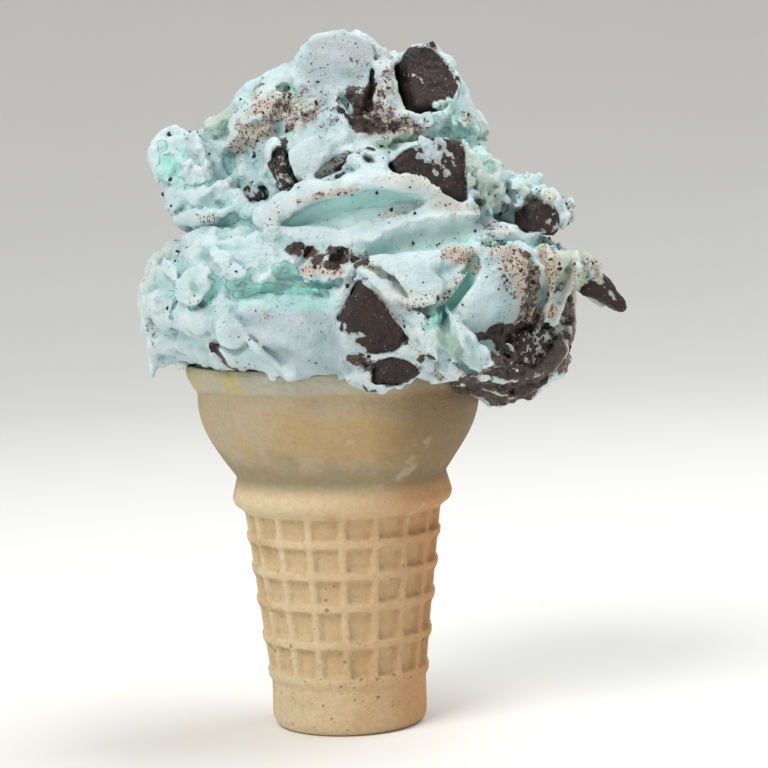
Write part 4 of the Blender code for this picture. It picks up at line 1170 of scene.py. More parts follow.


def scoop_piece(name, field, heap):
    """One scoop's mesh, with its stains, painted shade in its hollows and a painted highlight on its
    crests.
    """
    step, axes = heap.clay.step, heap.clay.axes
    piece = make_piece(name, *drop_specks(*skin_of(Clay.on(axes, step, field))))
    points = points_of(piece)
    tones = heap.tones(points)
    whole = np.clip(heap.clay.field, -3, 3)
    near, far = [Clay.on(axes, step, soften(whole, max(1, round(reach / step)))).sample(points)
                 for reach in HOLLOW_REACHES]
    # Narrow and broad hollows of the field, where painted shade is laid
    deep = smooth_step(near - heap.clay.sample(points), 0.05, -0.75)
    deeper = smooth_step(far, 0.35, -0.9)
    patch = smooth_step(rumple(points, 11.0, 2), -0.5, 0.5)
    # Turquoise of the stains in real troughs, and painted shade that turns the hollows more turquoise
    teal = np.maximum(tones["teal"] * 0.9, (0.4 * deep + 0.35 * deeper) * (0.35 + 0.65 * patch))
    dirt = smooth_step(rumple(points + 40, 12.0, 3), 0.25, 0.6)
    cream = np.maximum(tones["cream"], 0.5 * smooth_step(rumple(points + 70, 16.0, 2), 0.25, 0.6))
    paint(piece, "stain", [teal, tones["cocoa"], cream])
    specks = np.maximum(tones["specks"], 0.08 + 0.35 * dirt)
    paint(piece, "soil", [specks, tones["olive"], tones["grey"]])
    # Crest lightens the convex ridges: a painted highlight. Hollow darkens the creases and the places
    # stained with shade: painted shade
    crest = smooth_step(far, -0.3, 0.9)
    hollow = np.maximum(deep, 0.7 * deeper) * (1 - 0.85 * tones["teal"])
    hollow = np.maximum(hollow, tones["shade"])
    # Stored as cookie paste, painted shade and painted highlight
    paint(piece, "dark", [tones["paste"], hollow, crest * (1 - tones["shade"])])
    return piece


# Shader parts ---------------------------------------------------------------


def feed(tree, node, inputs):
    """Join a node's inputs to other sockets, or set their values."""
    for name, value in inputs.items():
        if isinstance(value, bpy.types.NodeSocket):
            tree.links.new(value, node.inputs[name])
        else:
            node.inputs[name].default_value = value


def put(tree, kind, inputs, **settings):
    """Add a node, set it, and feed its inputs."""
    made = tree.nodes.new(kind)
    for name, value in settings.items():
        setattr(made, name, value)
    feed(tree, made, inputs)
    return made


def sums(tree, operation, *values):
    """A Math node's output."""
    return put(tree, "ShaderNodeMath", dict(enumerate(values)), operation=operation).outputs[0]


def times(tree, first, second):
    """Two values multiplied."""
    return sums(tree, "MULTIPLY", first, second)


def times_plus(tree, first, second, more):
    """Two values multiplied, and a third added."""
    return sums(tree, "MULTIPLY_ADD", first, second, more)


def ramp(tree, value, start, end, low=0.0, high=1.0):
    """A value moved from one range to another, with soft ends."""
    made = put(tree, "ShaderNodeMapRange",
               {"Value": value, "From Min": start, "From Max": end, "To Min": low, "To Max": high},
               interpolation_type="SMOOTHSTEP")
    return made.outputs["Result"]


def colour(values):
    """A colour property's three values with full cover."""
    return (*values[:3], 1.0)


def blended(tree, share, first, second):
    """Two colours mixed by a mask."""
    return put(tree, "ShaderNodeMix", {0: share, 6: first, 7: second}, data_type="RGBA").outputs[2]


def tinted(tree, base, *layers):
    """A colour with others laid over it in turn: a mask, how much of it, and a tint each."""
    for mask, amount, tone in layers:
        base = blended(tree, times(tree, mask, amount), base, colour(tone))
    return base


def waves(tree, place, size, detail=3.0, rough=0.55):
    """Noise with features of one size in metres."""
    made = put(tree, "ShaderNodeTexNoise",
               {"Vector": place, "Scale": 1 / size, "Detail": detail, "Roughness": rough})
    return made.outputs["Fac"]


def new_group(name, inputs, outputs):
    """An empty shader group with named sockets."""
    group = bpy.data.node_groups.new(name, "ShaderNodeTree")
    for label, kind, value in inputs:
        socket = group.interface.new_socket(label, in_out="INPUT", socket_type=kind)
        if value is not None:
            socket.default_value = value
    for label, kind in outputs:
        group.interface.new_socket(label, in_out="OUTPUT", socket_type=kind)
    return group, group.nodes.new("NodeGroupInput"), group.nodes.new("NodeGroupOutput")


@lru_cache(maxsize=1)
def fleck_group():
    """Small scattered flecks: a mask from a cell size and how many cells hold one."""
    group, given, made = new_group(
        "Scattered flecks",
        [("Vector", "NodeSocketVector", None), ("Cells per Metre", "NodeSocketFloat", 900.0),
         ("Share", "NodeSocketFloat", 0.2), ("Reach", "NodeSocketFloat", 0.4)],
        [("Mask", "NodeSocketFloat")])
    bend = put(group, "ShaderNodeTexNoise", {"Vector": given.outputs["Vector"], "Scale": 1200.0})
    shift = put(group, "ShaderNodeVectorMath",
                {0: bend.outputs["Color"], "Scale": 0.001}, operation="SCALE")
    place = put(group, "ShaderNodeVectorMath", {0: given.outputs["Vector"], 1: shift.outputs[0]},
                operation="ADD")
    cells = put(group, "ShaderNodeTexVoronoi",
                {"Vector": place.outputs[0], "Scale": given.outputs["Cells per Metre"]})
    parts = put(group, "ShaderNodeSeparateColor", {"Color": cells.outputs["Color"]})
    chosen = sums(group, "LESS_THAN", parts.outputs[0], given.outputs["Share"])
    size = times_plus(group, parts.outputs[1], 0.6, 0.4)
    reach = times(group, size, given.outputs["Reach"])
    gap = sums(group, "SUBTRACT", reach, cells.outputs["Distance"])
    mask = times(group, ramp(group, gap, -0.03, 0.06), chosen)
    group.links.new(mask, made.inputs["Mask"])
    return group


@lru_cache(maxsize=1)
def grain_group():
    """A fine uneven height, coarse and fine waves together."""
    group, given, made = new_group(
        "Fine grain", [("Vector", "NodeSocketVector", None), ("Waves per Metre", "NodeSocketFloat", 900.0)],
        [("Height", "NodeSocketFloat")])
    noise = put(group, "ShaderNodeTexNoise", {"Vector": given.outputs["Vector"],
                                              "Scale": given.outputs["Waves per Metre"],
                                              "Detail": 4.0, "Roughness": 0.65})
    group.links.new(noise.outputs["Fac"], made.inputs["Height"])
    return group


def flecks(tree, place, size, share, reach):
    """The scattered flecks in a material; size is one cell in metres."""
    inputs = {"Vector": place, "Cells per Metre": 1 / size, "Share": share, "Reach": reach}
    return put(tree, "ShaderNodeGroup", inputs, node_tree=fleck_group()).outputs["Mask"]


def grain(tree, place, size):
    """The fine grain in a material; size is one wave in metres."""
    inputs = {"Vector": place, "Waves per Metre": 1 / size}
    return put(tree, "ShaderNodeGroup", inputs, node_tree=grain_group()).outputs["Height"]


def new_material(name):
    """An empty node material with its Principled shader and object coordinates."""
    material = bpy.data.materials.new(name)
    material.use_nodes = True
    tree = material.node_tree
    tree.nodes.clear()
    shader = tree.nodes.new("ShaderNodeBsdfPrincipled")
    output = tree.nodes.new("ShaderNodeOutputMaterial")
    tree.links.new(shader.outputs["BSDF"], output.inputs["Surface"])
    place = tree.nodes.new("ShaderNodeTexCoord").outputs["Object"]
    return material, tree, shader, place


def masks(tree, name):
    """The three masks of one painted attribute."""
    layer = put(tree, "ShaderNodeAttribute", {}, attribute_name=name)
    parts = put(tree, "ShaderNodeSeparateColor", {"Color": layer.outputs["Color"]})
    return [parts.outputs[k] for k in range(3)]


def roughen_shader(tree, shader, height, strength, distance):
    """Bump a shader's surface by a height."""
    bump = put(tree, "ShaderNodeBump", {"Strength": strength, "Distance": distance, "Height": height})
    tree.links.new(bump.outputs["Normal"], shader.inputs["Normal"])


def mint_material(looks):
    """Mint ice cream: pale on its crests as a painted highlight, turquoise in its troughs and hollows,
    darker in its hollows as painted shade, with cocoa dust and flecks.
    """
    material, tree, shader, place = new_material("mint ice cream")
    teal, cocoa, cream = masks(tree, "stain")
    specks, olive, grey = masks(tree, "soil")
    # The dark masks: cookie paste, painted shade in the hollows, painted highlight on the crests
    paste, hollow, crest = masks(tree, "dark")
    cloud = waves(tree, place, 0.006, 4.0)
    dust = waves(tree, place, 0.0018, 6.0, 0.75)
    fine = waves(tree, place, 0.0008, 4.0, 0.7)
    base = blended(tree, ramp(tree, cloud, 0.3, 0.7), colour(looks.pale), colour(looks.mint))
    base = tinted(tree, base, (cream, 0.75, looks.cream), (olive, 0.7, looks.olive),
                  (grey, 0.6, looks.lilac), (teal, 0.95, looks.turquoise))
    base = blended(tree, ramp(tree, teal, 0.7, 1.0, 0.0, 0.8), base, colour(looks.deep))
    mottle = times(tree, ramp(tree, waves(tree, place, 0.0035, 5.0, 0.65), 0.45, 0.7), grey)
    tan = ramp(tree, times_plus(tree, cocoa, 0.5, dust), 0.6, 0.95)
    # Painted shade in the hollows and a painted highlight on the crests
    base = tinted(tree, base, (mottle, 0.35, looks.shade), (hollow, 0.55, looks.shade),
                  (crest, 0.35, looks.pale), (tan, 0.5, looks.cocoa))
    heavy = ramp(tree, times_plus(tree, cocoa, 0.5, waves(tree, place, 0.003, 3.0)), 0.62, 0.9)
    brown = sums(tree, "MAXIMUM", flecks(tree, place, 0.0006, times(tree, heavy, 0.9), 0.5),
                 flecks(tree, place, 0.0012, times(tree, heavy, 0.6), 0.42))
    rust = blended(tree, ramp(tree, fine, 0.4, 0.65), colour(looks.crushed), colour(looks.fleck))
    base = blended(tree, times(tree, brown, 0.9), base, rust)
    pasty = ramp(tree, times_plus(tree, paste, 0.55, dust), 0.68, 0.84)
    mud = blended(tree, ramp(tree, fine, 0.42, 0.7), colour(looks.fleck), colour(looks.paste))
    base = blended(tree, times(tree, pasty, 0.92), base, mud)
    grit = times(tree, flecks(tree, place, 0.0007, 0.14, 0.24), pasty)
    base = tinted(tree, base, (grit, 0.6, looks.cocoa))
    dotted = times_plus(tree, cocoa, 0.3, times_plus(tree, specks, 0.7, 0.03))
    share = times(tree, dotted, ramp(tree, waves(tree, place, 0.004, 3.0), 0.4, 0.65, 0.1, 1.3))
    small = sums(tree, "MAXIMUM", flecks(tree, place, 0.0009, share, 0.26),
                 flecks(tree, place, 0.00055, share, 0.26))
    large = flecks(tree, place, 0.0022, times(tree, share, 0.45), 0.22)
    speck = blended(tree, ramp(tree, dust, 0.4, 0.6), colour(looks.crushed), colour(looks.fleck))
    base = blended(tree, sums(tree, "MAXIMUM", small, large), base, speck)
    rough = times_plus(tree, teal, -0.12, ramp(tree, cloud, 0.3, 0.7, 0.5, 0.62))
    feed(tree, shader, {
        "Base Color": base, "Roughness": times_plus(tree, pasty, -0.12, rough),
        "Subsurface Weight": 0.15, "Subsurface Radius": (0.7, 1.0, 1.0),
        "Subsurface Scale": 0.002, "Specular IOR Level": 0.35})
    height = times_plus(tree, small, 0.25, grain(tree, place, 0.0011))
    height = times_plus(tree, grain(tree, place, 0.0028), 1.3, height)
    height = times(tree, height, ramp(tree, teal, 0.45, 0.9, 1.0, 0.2))
    roughen_shader(tree, shader, height, 0.9, 0.0008)
    return material


def cookie_material(looks):
    """Broken chocolate cookie: dark and granular, with light sugary grains, partly painted glints."""
    material, tree, shader, place = new_material("chocolate cookie")
    frost = masks(tree, "stain")[0]
    cloud = waves(tree, place, 0.003, 5.0, 0.6)
    base = blended(tree, ramp(tree, cloud, 0.35, 0.68), colour(looks.dark), colour(looks.brown))
    # Light sugar grains; the larger ones are painted glints.
    sugar_and_glint = sums(tree, "MAXIMUM", flecks(tree, place, 0.0005, 0.3, 0.24),
                 flecks(tree, place, 0.0013, 0.12, 0.17))
    base = blended(tree, sugar_and_glint, base, colour(looks.sugar_and_glint))
    smear = times_plus(tree, frost, 0.75, waves(tree, place, 0.0012, 5.0, 0.7))
    base = tinted(tree, base, (ramp(tree, smear, 1.05, 1.2), 0.8, looks.smear))
    feed(tree, shader, {"Base Color": base, "Roughness": ramp(tree, cloud, 0.3, 0.7, 0.42, 0.75),
                        "Specular IOR Level": 0.4})
    roughen_shader(tree, shader, grain(tree, place, 0.0007), 0.8, 0.0004)
    return material


def wafer_material(looks):
    """Baked wafer: warm and matt, greyer on the bowl, with browner blotches and small pits, and painted
    shade on its right side, on the bowl's right side and foot, and on the cell floors.
    """
    material, tree, shader, place = new_material("wafer")
    pits, greyed, starch = masks(tree, "stain")
    # Blotches, painted shade at the bowl's foot, and the grey lip band
    tan, bowl_foot_shade, lip = masks(tree, "soil")
    across_x = put(tree, "ShaderNodeSeparateXYZ", {"Vector": place}).outputs["X"]
    # The wafer turns darker and browner towards its right side: painted shade.
    across = ramp(tree, times_plus(tree, waves(tree, place, 0.02), 0.016, across_x), -0.01, 0.036)
    base = blended(tree, across, colour(looks.pale), colour(looks.right_side_shade))
    blotch = ramp(tree, waves(tree, place, 0.011, 4.0, 0.6), 0.5, 0.68)
    yellow = times_plus(tree, across_x, -12.0, waves(tree, place, 0.007, 3.0))
    # Cell floors are made darker and tanner than the ribs: painted shade.
    cell = put(tree, "ShaderNodeAttribute", {}, attribute_name="cell").outputs["Fac"]
    edge = times(tree, ramp(tree, across, 0.6, 1.0), sums(tree, "SUBTRACT", 1.0, greyed))
    # The bowl's right side, under the overhanging ice cream, is made darker and browner: painted shade.
    bowl_shade = times(tree, ramp(tree, across, 0.55, 1.0), greyed)
    white = times(tree, ramp(tree, waves(tree, place, 0.006, 4.0), 0.6, 0.72), starch)
    mottle = ramp(tree, waves(tree, place, 0.0012, 5.0, 0.75), 0.32, 0.68)
    holes = sums(tree, "MAXIMUM", flecks(tree, place, 0.0017, times(tree, pits, 0.5), 0.27),
                 flecks(tree, place, 0.0009, times(tree, pits, 0.4), 0.26))
    base = tinted(
        tree, base, (greyed, 0.8, looks.greyed), (blotch, 0.6, looks.blotch),
        (tan, 0.75, looks.blotch), (bowl_foot_shade, 0.7, looks.bowl_foot_shade), (lip, 0.85, looks.lip),
        (times(tree, lip, ramp(tree, yellow, 0.72, 0.9)), 0.6, looks.yellow),
        (cell, 0.5, looks.cell), (edge, 0.7, looks.rusty), (bowl_shade, 0.75, looks.bowl_shade_tint),
        (white, 0.5, looks.starch), (mottle, 0.24, looks.shade), (holes, 0.65, looks.pit))
    feed(tree, shader, {
        "Base Color": base, "Roughness": ramp(tree, mottle, 0.0, 1.0, 0.62, 0.82),
        "Specular IOR Level": 0.25, "Subsurface Weight": 0.1,
        "Subsurface Radius": (1.0, 0.7, 0.4), "Subsurface Scale": 0.0012})
    height = times_plus(tree, grain(tree, place, 0.0018), 1.2, grain(tree, place, 0.0006))
    height = times_plus(tree, holes, -1.0, height)
    height = times(tree, height, times_plus(tree, greyed, 0.8, 1.0))
    roughen_shader(tree, shader, height, 0.8, 0.0005)
    return material


# Wafer cup ------------------------------------------------------------------

WAFER_COLUMNS = 352
OUTSIDE = ((13.5, 0.0), (15.3, 0.0), (16.5, 0.6), (17.15, 2.2), (17.1, 10.2), (17.3, 10.7),
           (21.75, 48.1), (22.2, 48.5), (23.7, 49.5), (24.3, 50.9), (24.0, 52.2), (23.1, 55.6))
LIP_OUTSIDE = ((31.0, 74.9), (31.25, 75.3), (31.75, 75.6), (33.0, 77.9), (33.5, 79.8), (33.1, 80.8))
INSIDE = ((31.3, 80.8), (30.8, 77.3))
INSIDE_LOW = ((20.6, 55.8), (18.8, 48.2), (13.8, 4.0), (12.5, 2.5), (0.0, 2.5))
BOWL_HEIGHTS = (55.8, 72.8)
BOWL_RADII = (23.1, 31.0)
GRID_TOP = 48.0
WARP = 0.16                     # how uneven the baked wall is
ROW_SWELL = 0.4                 # how far the wall stands out at a level rib
RIB_ROWS = (12.0, 20.2, 28.5, 35.5, 42.5)
OUTSIDE_STEP = 0.36
INSIDE_STEP = 2.4


def bowl_line(inset):
    """Radii and heights up the bowl."""
    share = np.linspace(0, 1, 12)
    heights = BOWL_HEIGHTS[0] + (BOWL_HEIGHTS[1] - BOWL_HEIGHTS[0]) * share
    radii = BOWL_RADII[0] + (BOWL_RADII[1] - BOWL_RADII[0]) * np.sin(np.pi / 2 * share) - inset
    return [(r, z) for r, z in zip(radii, heights)]


def even_line(points, step):
    """A line of points cut into even steps."""
    points = np.array(points, dtype=float)
    lengths = np.linalg.norm(np.diff(points, axis=0), axis=1)
    along = np.concatenate([[0], np.cumsum(lengths)])
    places = np.linspace(0, along[-1], max(2, int(along[-1] / step)))
    return np.stack([np.interp(places, along, points[:, k]) for k in (0, 1)], axis=1)


def wafer_line():
    """The cup's outline from under its foot, over the rim, to the middle of its floor."""
    outer = even_line(list(OUTSIDE) + bowl_line(0) + list(LIP_OUTSIDE), OUTSIDE_STEP)
    for _ in range(2):
        outer[1:-1] = (outer[:-2] + 2 * outer[1:-1] + outer[2:]) / 4
    inner = even_line(list(INSIDE) + bowl_line(WALL_THICKNESS)[::-1] + list(INSIDE_LOW), INSIDE_STEP)
    return np.vstack([outer, inner]), len(outer)


def turned_wafer():
    """The smooth turned cup, with the places where its grid of ribs goes."""
    line, outer_count = wafer_line()
    angles = np.arange(WAFER_COLUMNS) * 2 * np.pi / WAFER_COLUMNS
    rings = line[:-1]
    radii, heights = rings[:, :1], np.broadcast_to(rings[:, 1:], (len(rings), WAFER_COLUMNS))
    points = np.stack([radii * np.sin(angles), -radii * np.cos(angles), heights], axis=2)
    points = points.reshape(-1, 3)
    faces = []
    place = np.arange(WAFER_COLUMNS)
    after = (place + 1) % WAFER_COLUMNS
    for ring in range(len(rings) - 1):
        low, high = ring * WAFER_COLUMNS, (ring + 1) * WAFER_COLUMNS
        faces += np.stack([low + place, low + after, high + after, high + place], axis=1).tolist()
    foot, floor = len(points), len(points) + 1
    points = np.vstack([points, [(0, 0, 0), (0, 0, line[-1, 1])]])
    last = (len(rings) - 1) * WAFER_COLUMNS
    faces += [(foot, int(b), int(a)) for a, b in zip(place, after)]
    faces += [(floor, last + int(a), last + int(b)) for a, b in zip(place, after)]
    outward = points[:, :2] / np.maximum(np.linalg.norm(points[:, :2], axis=1, keepdims=True), 1)
    height = points[:, 2]
    outer = np.arange(len(points)) < outer_count * WAFER_COLUMNS
    gap = np.min(np.abs(height[:, None] - np.array(RIB_ROWS)), axis=1)
    swell = WARP * rumple(points.astype(np.float32), 9.0, 3)
    swell += ROW_SWELL * smooth_step(gap, 1.9, 0.5) * outer
    swell[(height < 1.5) | (np.linalg.norm(points[:, :2], axis=1) < 10)] = 0
    points[:, :2] += outward * swell[:, None]
    wafer = add_mesh("wafer_looks", points, faces)
    store(wafer, "grid", outer & (height > RIB_ROWS[0]) & (height < GRID_TOP))
    store(wafer, "row gap", gap * MM)
    return wafer, points, outer, gap


def new_geometry_tree(name, inputs):
    """A Geometry Nodes tree that takes a mesh and named numbers, and what its input node gives."""
    tree = bpy.data.node_groups.new(name, "GeometryNodeTree")
    face = tree.interface
    face.new_socket("Geometry", in_out="INPUT", socket_type="NodeSocketGeometry")
    for label, default in inputs.items():
        kind = "NodeSocketInt" if isinstance(default, int) else "NodeSocketFloat"
        face.new_socket(label, in_out="INPUT", socket_type=kind).default_value = default
    face.new_socket("Geometry", in_out="OUTPUT", socket_type="NodeSocketGeometry")
    return tree, tree.nodes.new("NodeGroupInput").outputs


def end_geometry_tree(tree, geometry, material):
    """Realize what a tree made, give it its material and send it out."""
    real = put(tree, "GeometryNodeRealizeInstances", {"Geometry": geometry})
    done = put(tree, "GeometryNodeSetMaterial", {"Geometry": real.outputs[0], "Material": material})
    output = tree.nodes.new("NodeGroupOutput")
    tree.links.new(done.outputs[0], output.inputs[0])
    return tree


def rib_tree(material):
    """Press the cells of the grid into the shaft, so that the ribs stand between them."""
    tree, given = new_geometry_tree("Rib grid", {
        "Rib Count": 18.0, "Cell Depth": 0.0009, "Upright Rib Width": 0.0018,
        "Level Rib Width": 0.0017, "Rib Flank": 0.0010, "Wobble": 0.0004})
    place = tree.nodes.new("GeometryNodeInputPosition").outputs[0]
    parts = put(tree, "ShaderNodeSeparateXYZ", {"Vector": place}).outputs
    angle = sums(tree, "ARCTAN2", parts["X"], times(tree, parts["Y"], -1.0))
    turns = times(tree, angle, sums(tree, "DIVIDE", given["Rib Count"], 2 * math.pi))
    away = sums(tree, "PINGPONG", turns, 0.5)
    level_place = put(tree, "ShaderNodeCombineXYZ", {"X": parts["X"], "Y": parts["Y"]})
    radius = put(tree, "ShaderNodeVectorMath", {0: level_place.outputs[0]}, operation="LENGTH")
    pitch = sums(tree, "DIVIDE", times(tree, radius.outputs["Value"], 2 * math.pi),
                 given["Rib Count"])
    rumples = put(tree, "ShaderNodeTexNoise", {"Vector": place, "Scale": 260.0, "Detail": 2.0})
    wobble = times(tree, sums(tree, "SUBTRACT", rumples.outputs[0], 0.5), given["Wobble"])
    upright = times_plus(tree, away, pitch, wobble)
    row = put(tree, "GeometryNodeInputNamedAttribute", {"Name": "row gap"}, data_type="FLOAT")
    level = sums(tree, "ADD", row.outputs["Attribute"], wobble)
    cells = []
    for gap, width in ((upright, "Upright Rib Width"), (level, "Level Rib Width")):
        start = times(tree, given[width], 0.5)
        cells.append(ramp(tree, gap, start, sums(tree, "ADD", start, given["Rib Flank"])))
    grid = put(tree, "GeometryNodeInputNamedAttribute", {"Name": "grid"}, data_type="FLOAT")
    cell = times(tree, times(tree, *cells), grid.outputs["Attribute"])
    kept = put(tree, "GeometryNodeStoreNamedAttribute",
               {"Geometry": given["Geometry"], "Name": "cell", "Value": cell}, data_type="FLOAT")
    depth = times(tree, cell, times(tree, given["Cell Depth"], -1.0))
    normal = tree.nodes.new("GeometryNodeInputNormal").outputs[0]
    offset = put(tree, "ShaderNodeVectorMath", {0: normal, "Scale": depth}, operation="SCALE")
    moved = put(tree, "GeometryNodeSetPosition",
                {"Geometry": kept.outputs[0], "Offset": offset.outputs[0]})
    return end_geometry_tree(tree, moved.outputs[0], material)


def run_tree(piece, tree, values):
    """Run a node tree on a piece with named values, and keep the result as a plain mesh."""
    modifier = piece.modifiers.new(tree.name, "NODES")
    modifier.node_group = tree
    for item in tree.interface.items_tree:
        if item.in_out == "INPUT" and item.name in values:
            modifier[item.identifier] = values[item.name]
    settle(piece)
    bpy.data.node_groups.remove(tree)


# Crumbs ---------------------------------------------------------------------


def crumb_shapes():
    """A few angular crumbs of unit size, kept apart until they are strewn."""
    holder = bpy.data.collections.new("crumb shapes")
    chance = np.random.default_rng(31)
    for number in range(4):
        work = bmesh.new()
        bmesh.ops.create_icosphere(work, subdivisions=1, radius=0.5)
        for vert in work.verts:
            vert.co *= float(chance.uniform(0.65, 1.2))
        mesh = bpy.data.meshes.new(f"crumb shape {number}")
        work.to_mesh(mesh)
        work.free()
        holder.objects.link(bpy.data.objects.new(mesh.name, mesh))
    return holder


def crumb_tree(holder, material):
    """Strew crumbs where the painted density says, each turned and sized by itself."""
    tree, given = new_geometry_tree("Strewn crumbs", {
        "Most per Square Metre": 60000.0, "Smallest": 0.0004, "Largest": 0.0016, "Seed": 3})
    density = put(tree, "GeometryNodeInputNamedAttribute", {"Name": "crumbs"}, data_type="FLOAT")
    amount = times(tree, density.outputs["Attribute"], given["Most per Square Metre"])
    spots = put(tree, "GeometryNodeDistributePointsOnFaces",
                {"Mesh": given["Geometry"], "Density": amount, "Seed": given["Seed"]},
                distribute_method="RANDOM")
    share = put(tree, "FunctionNodeRandomValue", {"Seed": 5}, data_type="FLOAT")
    size = put(tree, "ShaderNodeMapRange",
               {"Value": sums(tree, "POWER", share.outputs[1], 3.0), "To Min": given["Smallest"],
                "To Max": given["Largest"]}).outputs["Result"]
    stretch = put(tree, "FunctionNodeRandomValue",
                  {0: (0.6, 0.6, 0.5), 1: (1.3, 1.1, 1.0), "Seed": 6}, data_type="FLOAT_VECTOR")
    scale = put(tree, "ShaderNodeVectorMath", {0: stretch.outputs[0], "Scale": size},
                operation="SCALE")
    turn = put(tree, "FunctionNodeRandomValue",
               {0: (0.0, 0.0, 0.0), 1: (6.28, 6.28, 6.28), "Seed": 7}, data_type="FLOAT_VECTOR")
    shapes = put(tree, "GeometryNodeCollectionInfo",
                 {"Collection": holder, "Separate Children": True, "Reset Children": True})
    strewn = put(tree, "GeometryNodeInstanceOnPoints",
                 {"Points": spots.outputs["Points"], "Instance": shapes.outputs[0],
                  "Pick Instance": True, "Rotation": turn.outputs[0], "Scale": scale.outputs[0]})
    return end_geometry_tree(tree, strewn.outputs[0], material)


FINE_CRUMBS = 150000.0          # most on a square metre
COARSE_CRUMBS = 60000.0


def strew(name, bases, mask, material, most, smallest, largest, seed):
    """A piece of crumbs over some finished pieces, dense where their painted mask is strong."""
    points, faces, amounts = [], [], []
    start = 0
    for base in bases:
        here = points_of(base)
        base.data.calc_loop_triangles()
        corners = np.empty(len(base.data.loop_triangles) * 3, dtype=np.int32)
        base.data.loop_triangles.foreach_get("vertices", corners)
        points.append(here)
        faces.append(corners.reshape(-1, 3) + start)
        amounts.append(painted(base, mask)[:, 0] * (here[:, 2] > RIM + 0.5))
        start += len(here)
    piece = add_mesh(name, np.vstack(points), np.vstack(faces).tolist())
    store(piece, "crumbs", np.concatenate(amounts))
    holder = crumb_shapes()
    run_tree(piece, crumb_tree(holder, material),
             {"Most per Square Metre": most, "Smallest": smallest, "Largest": largest, "Seed": seed})
    for shape in list(holder.objects):
        bpy.data.meshes.remove(shape.data)
    bpy.data.collections.remove(holder)
    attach(piece, "root")


# Sizes and colours a user would change --------------------------------------


def paint_of(red, green, blue):
    """A colour given as it looks on a screen, from 0 to 255, for a colour property."""
    def straight(value):
        value /= 255
        return value / 12.92 if value <= 0.04045 else ((value + 0.055) / 1.055) ** 2.4
    return tuple(straight(value) for value in (red, green, blue))


def tint(name, description, *rgb):
    """A colour property."""
    return bpy.props.FloatVectorProperty(name=name, description=description, size=3, min=0, max=1,
                                         subtype="COLOR", default=paint_of(*rgb))


def length(name, description, default):
    """A length property in metres."""
    return bpy.props.FloatProperty(name=name, description=description, default=default, min=0,
                                   subtype="DISTANCE", unit="LENGTH", precision=5)


class MintIceCreamLooks(bpy.types.PropertyGroup):
    """Colours of the ice cream."""
    # Pale is also laid over the crests as a painted highlight.
    pale: tint("Pale mint", "Frosty top of the ice cream", 212, 226, 228)
    mint: tint("Mint", "Ordinary ice cream", 180, 208, 213)
    # Turquoise also tints the hollows as painted shade.
    turquoise: tint("Turquoise", "Smooth troughs and hollows", 164, 220, 214)
    deep: tint("Deep turquoise", "Deepest creases", 126, 200, 188)
    cream: tint("Cream", "Warm pale places", 210, 198, 178)
    olive: tint("Olive", "Yellow-green places", 168, 176, 118)
    # The colour of the painted shade in hollows and under bulges; random mottles use it too.
    shade: tint("Shade", "Depths of the folds", 108, 146, 152)
    lilac: tint("Lilac grey", "Greyish smears", 158, 168, 182)
    cocoa: tint("Cocoa dust", "Ice cream stained by cookie dust", 190, 154, 128)
    crushed: tint("Crushed cookie", "Fine brown bits of cookie", 112, 64, 42)
    paste: tint("Cookie paste", "Cookie smeared into the ice cream", 66, 46, 38)
    fleck: tint("Flecks", "Specks of cookie", 42, 28, 28)


class MintCookieLooks(bpy.types.PropertyGroup):
    """Colours of the cookie pieces and size of their crumbs."""
    dark: tint("Dark", "Most of a cookie", 30, 24, 26)
    brown: tint("Brown", "Worn places", 62, 42, 38)
    # Sugar grains, partly painted glints.
    sugar_and_glint: tint("Sugar", "Grains that catch the light", 190, 172, 162)
    smear: tint("Smear", "Ice cream rubbed into the edges", 190, 200, 198)
    smallest: length("Smallest crumb", "Width of the smallest crumbs", 0.0003)
    largest: length("Largest crumb", "Width of the largest crumbs", 0.0013)


class MintWaferLooks(bpy.types.PropertyGroup):
    """Colours of the wafer and sizes of its ribs."""
    # The wafer runs from this pale colour on its left to the darker one below on its right; the darker
    # right side is painted shade.
    pale: tint("Pale wafer", "Lightly baked side", 222, 203, 168)
    right_side_shade: tint("Browned wafer", "Darker baked side", 200, 160, 114)
    greyed: tint("Greyed wafer", "Bowl under the ice cream", 184, 170, 142)
    blotch: tint("Blotch", "Orange-brown baked blotches", 194, 164, 114)
    # Colour of the painted shade low on the bowl.
    bowl_foot_shade: tint("Murk", "Greenish grey low on the bowl", 152, 142, 110)
    lip: tint("Lip", "Grey band of the lip", 190, 192, 176)
    yellow: tint("Yellow", "Stain under the ice cream", 212, 194, 112)
    # Colour of the painted shade on the bowl's right side.
    bowl_shade_tint: tint("Toasted", "Browner side of the bowl", 122, 98, 68)
    rusty: tint("Rusty", "Redder side of the shaft", 194, 140, 92)
    # Colour of the painted shade on the cell floors.
    cell: tint("Cells", "Floors of the cells", 208, 180, 134)
    starch: tint("Starch", "White patches", 206, 196, 182)
    shade: tint("Mottle", "Fine darker mottle", 150, 122, 84)
    pit: tint("Pits", "Small holes", 140, 102, 62)
    cell_depth: length("Cell depth", "Depth of the cells between the ribs", 0.0012)
    upright_width: length("Upright ribs", "Width of the tops of the upright ribs", 0.0010)
    level_width: length("Level ribs", "Width of the tops of the level ribs", 0.0014)
    flank: length("Flanks", "Width of the slope beside a rib", 0.0010)
    rib_count: bpy.props.IntProperty(name="Ribs", description="Upright ribs round the shaft",
                                     default=18, min=3)


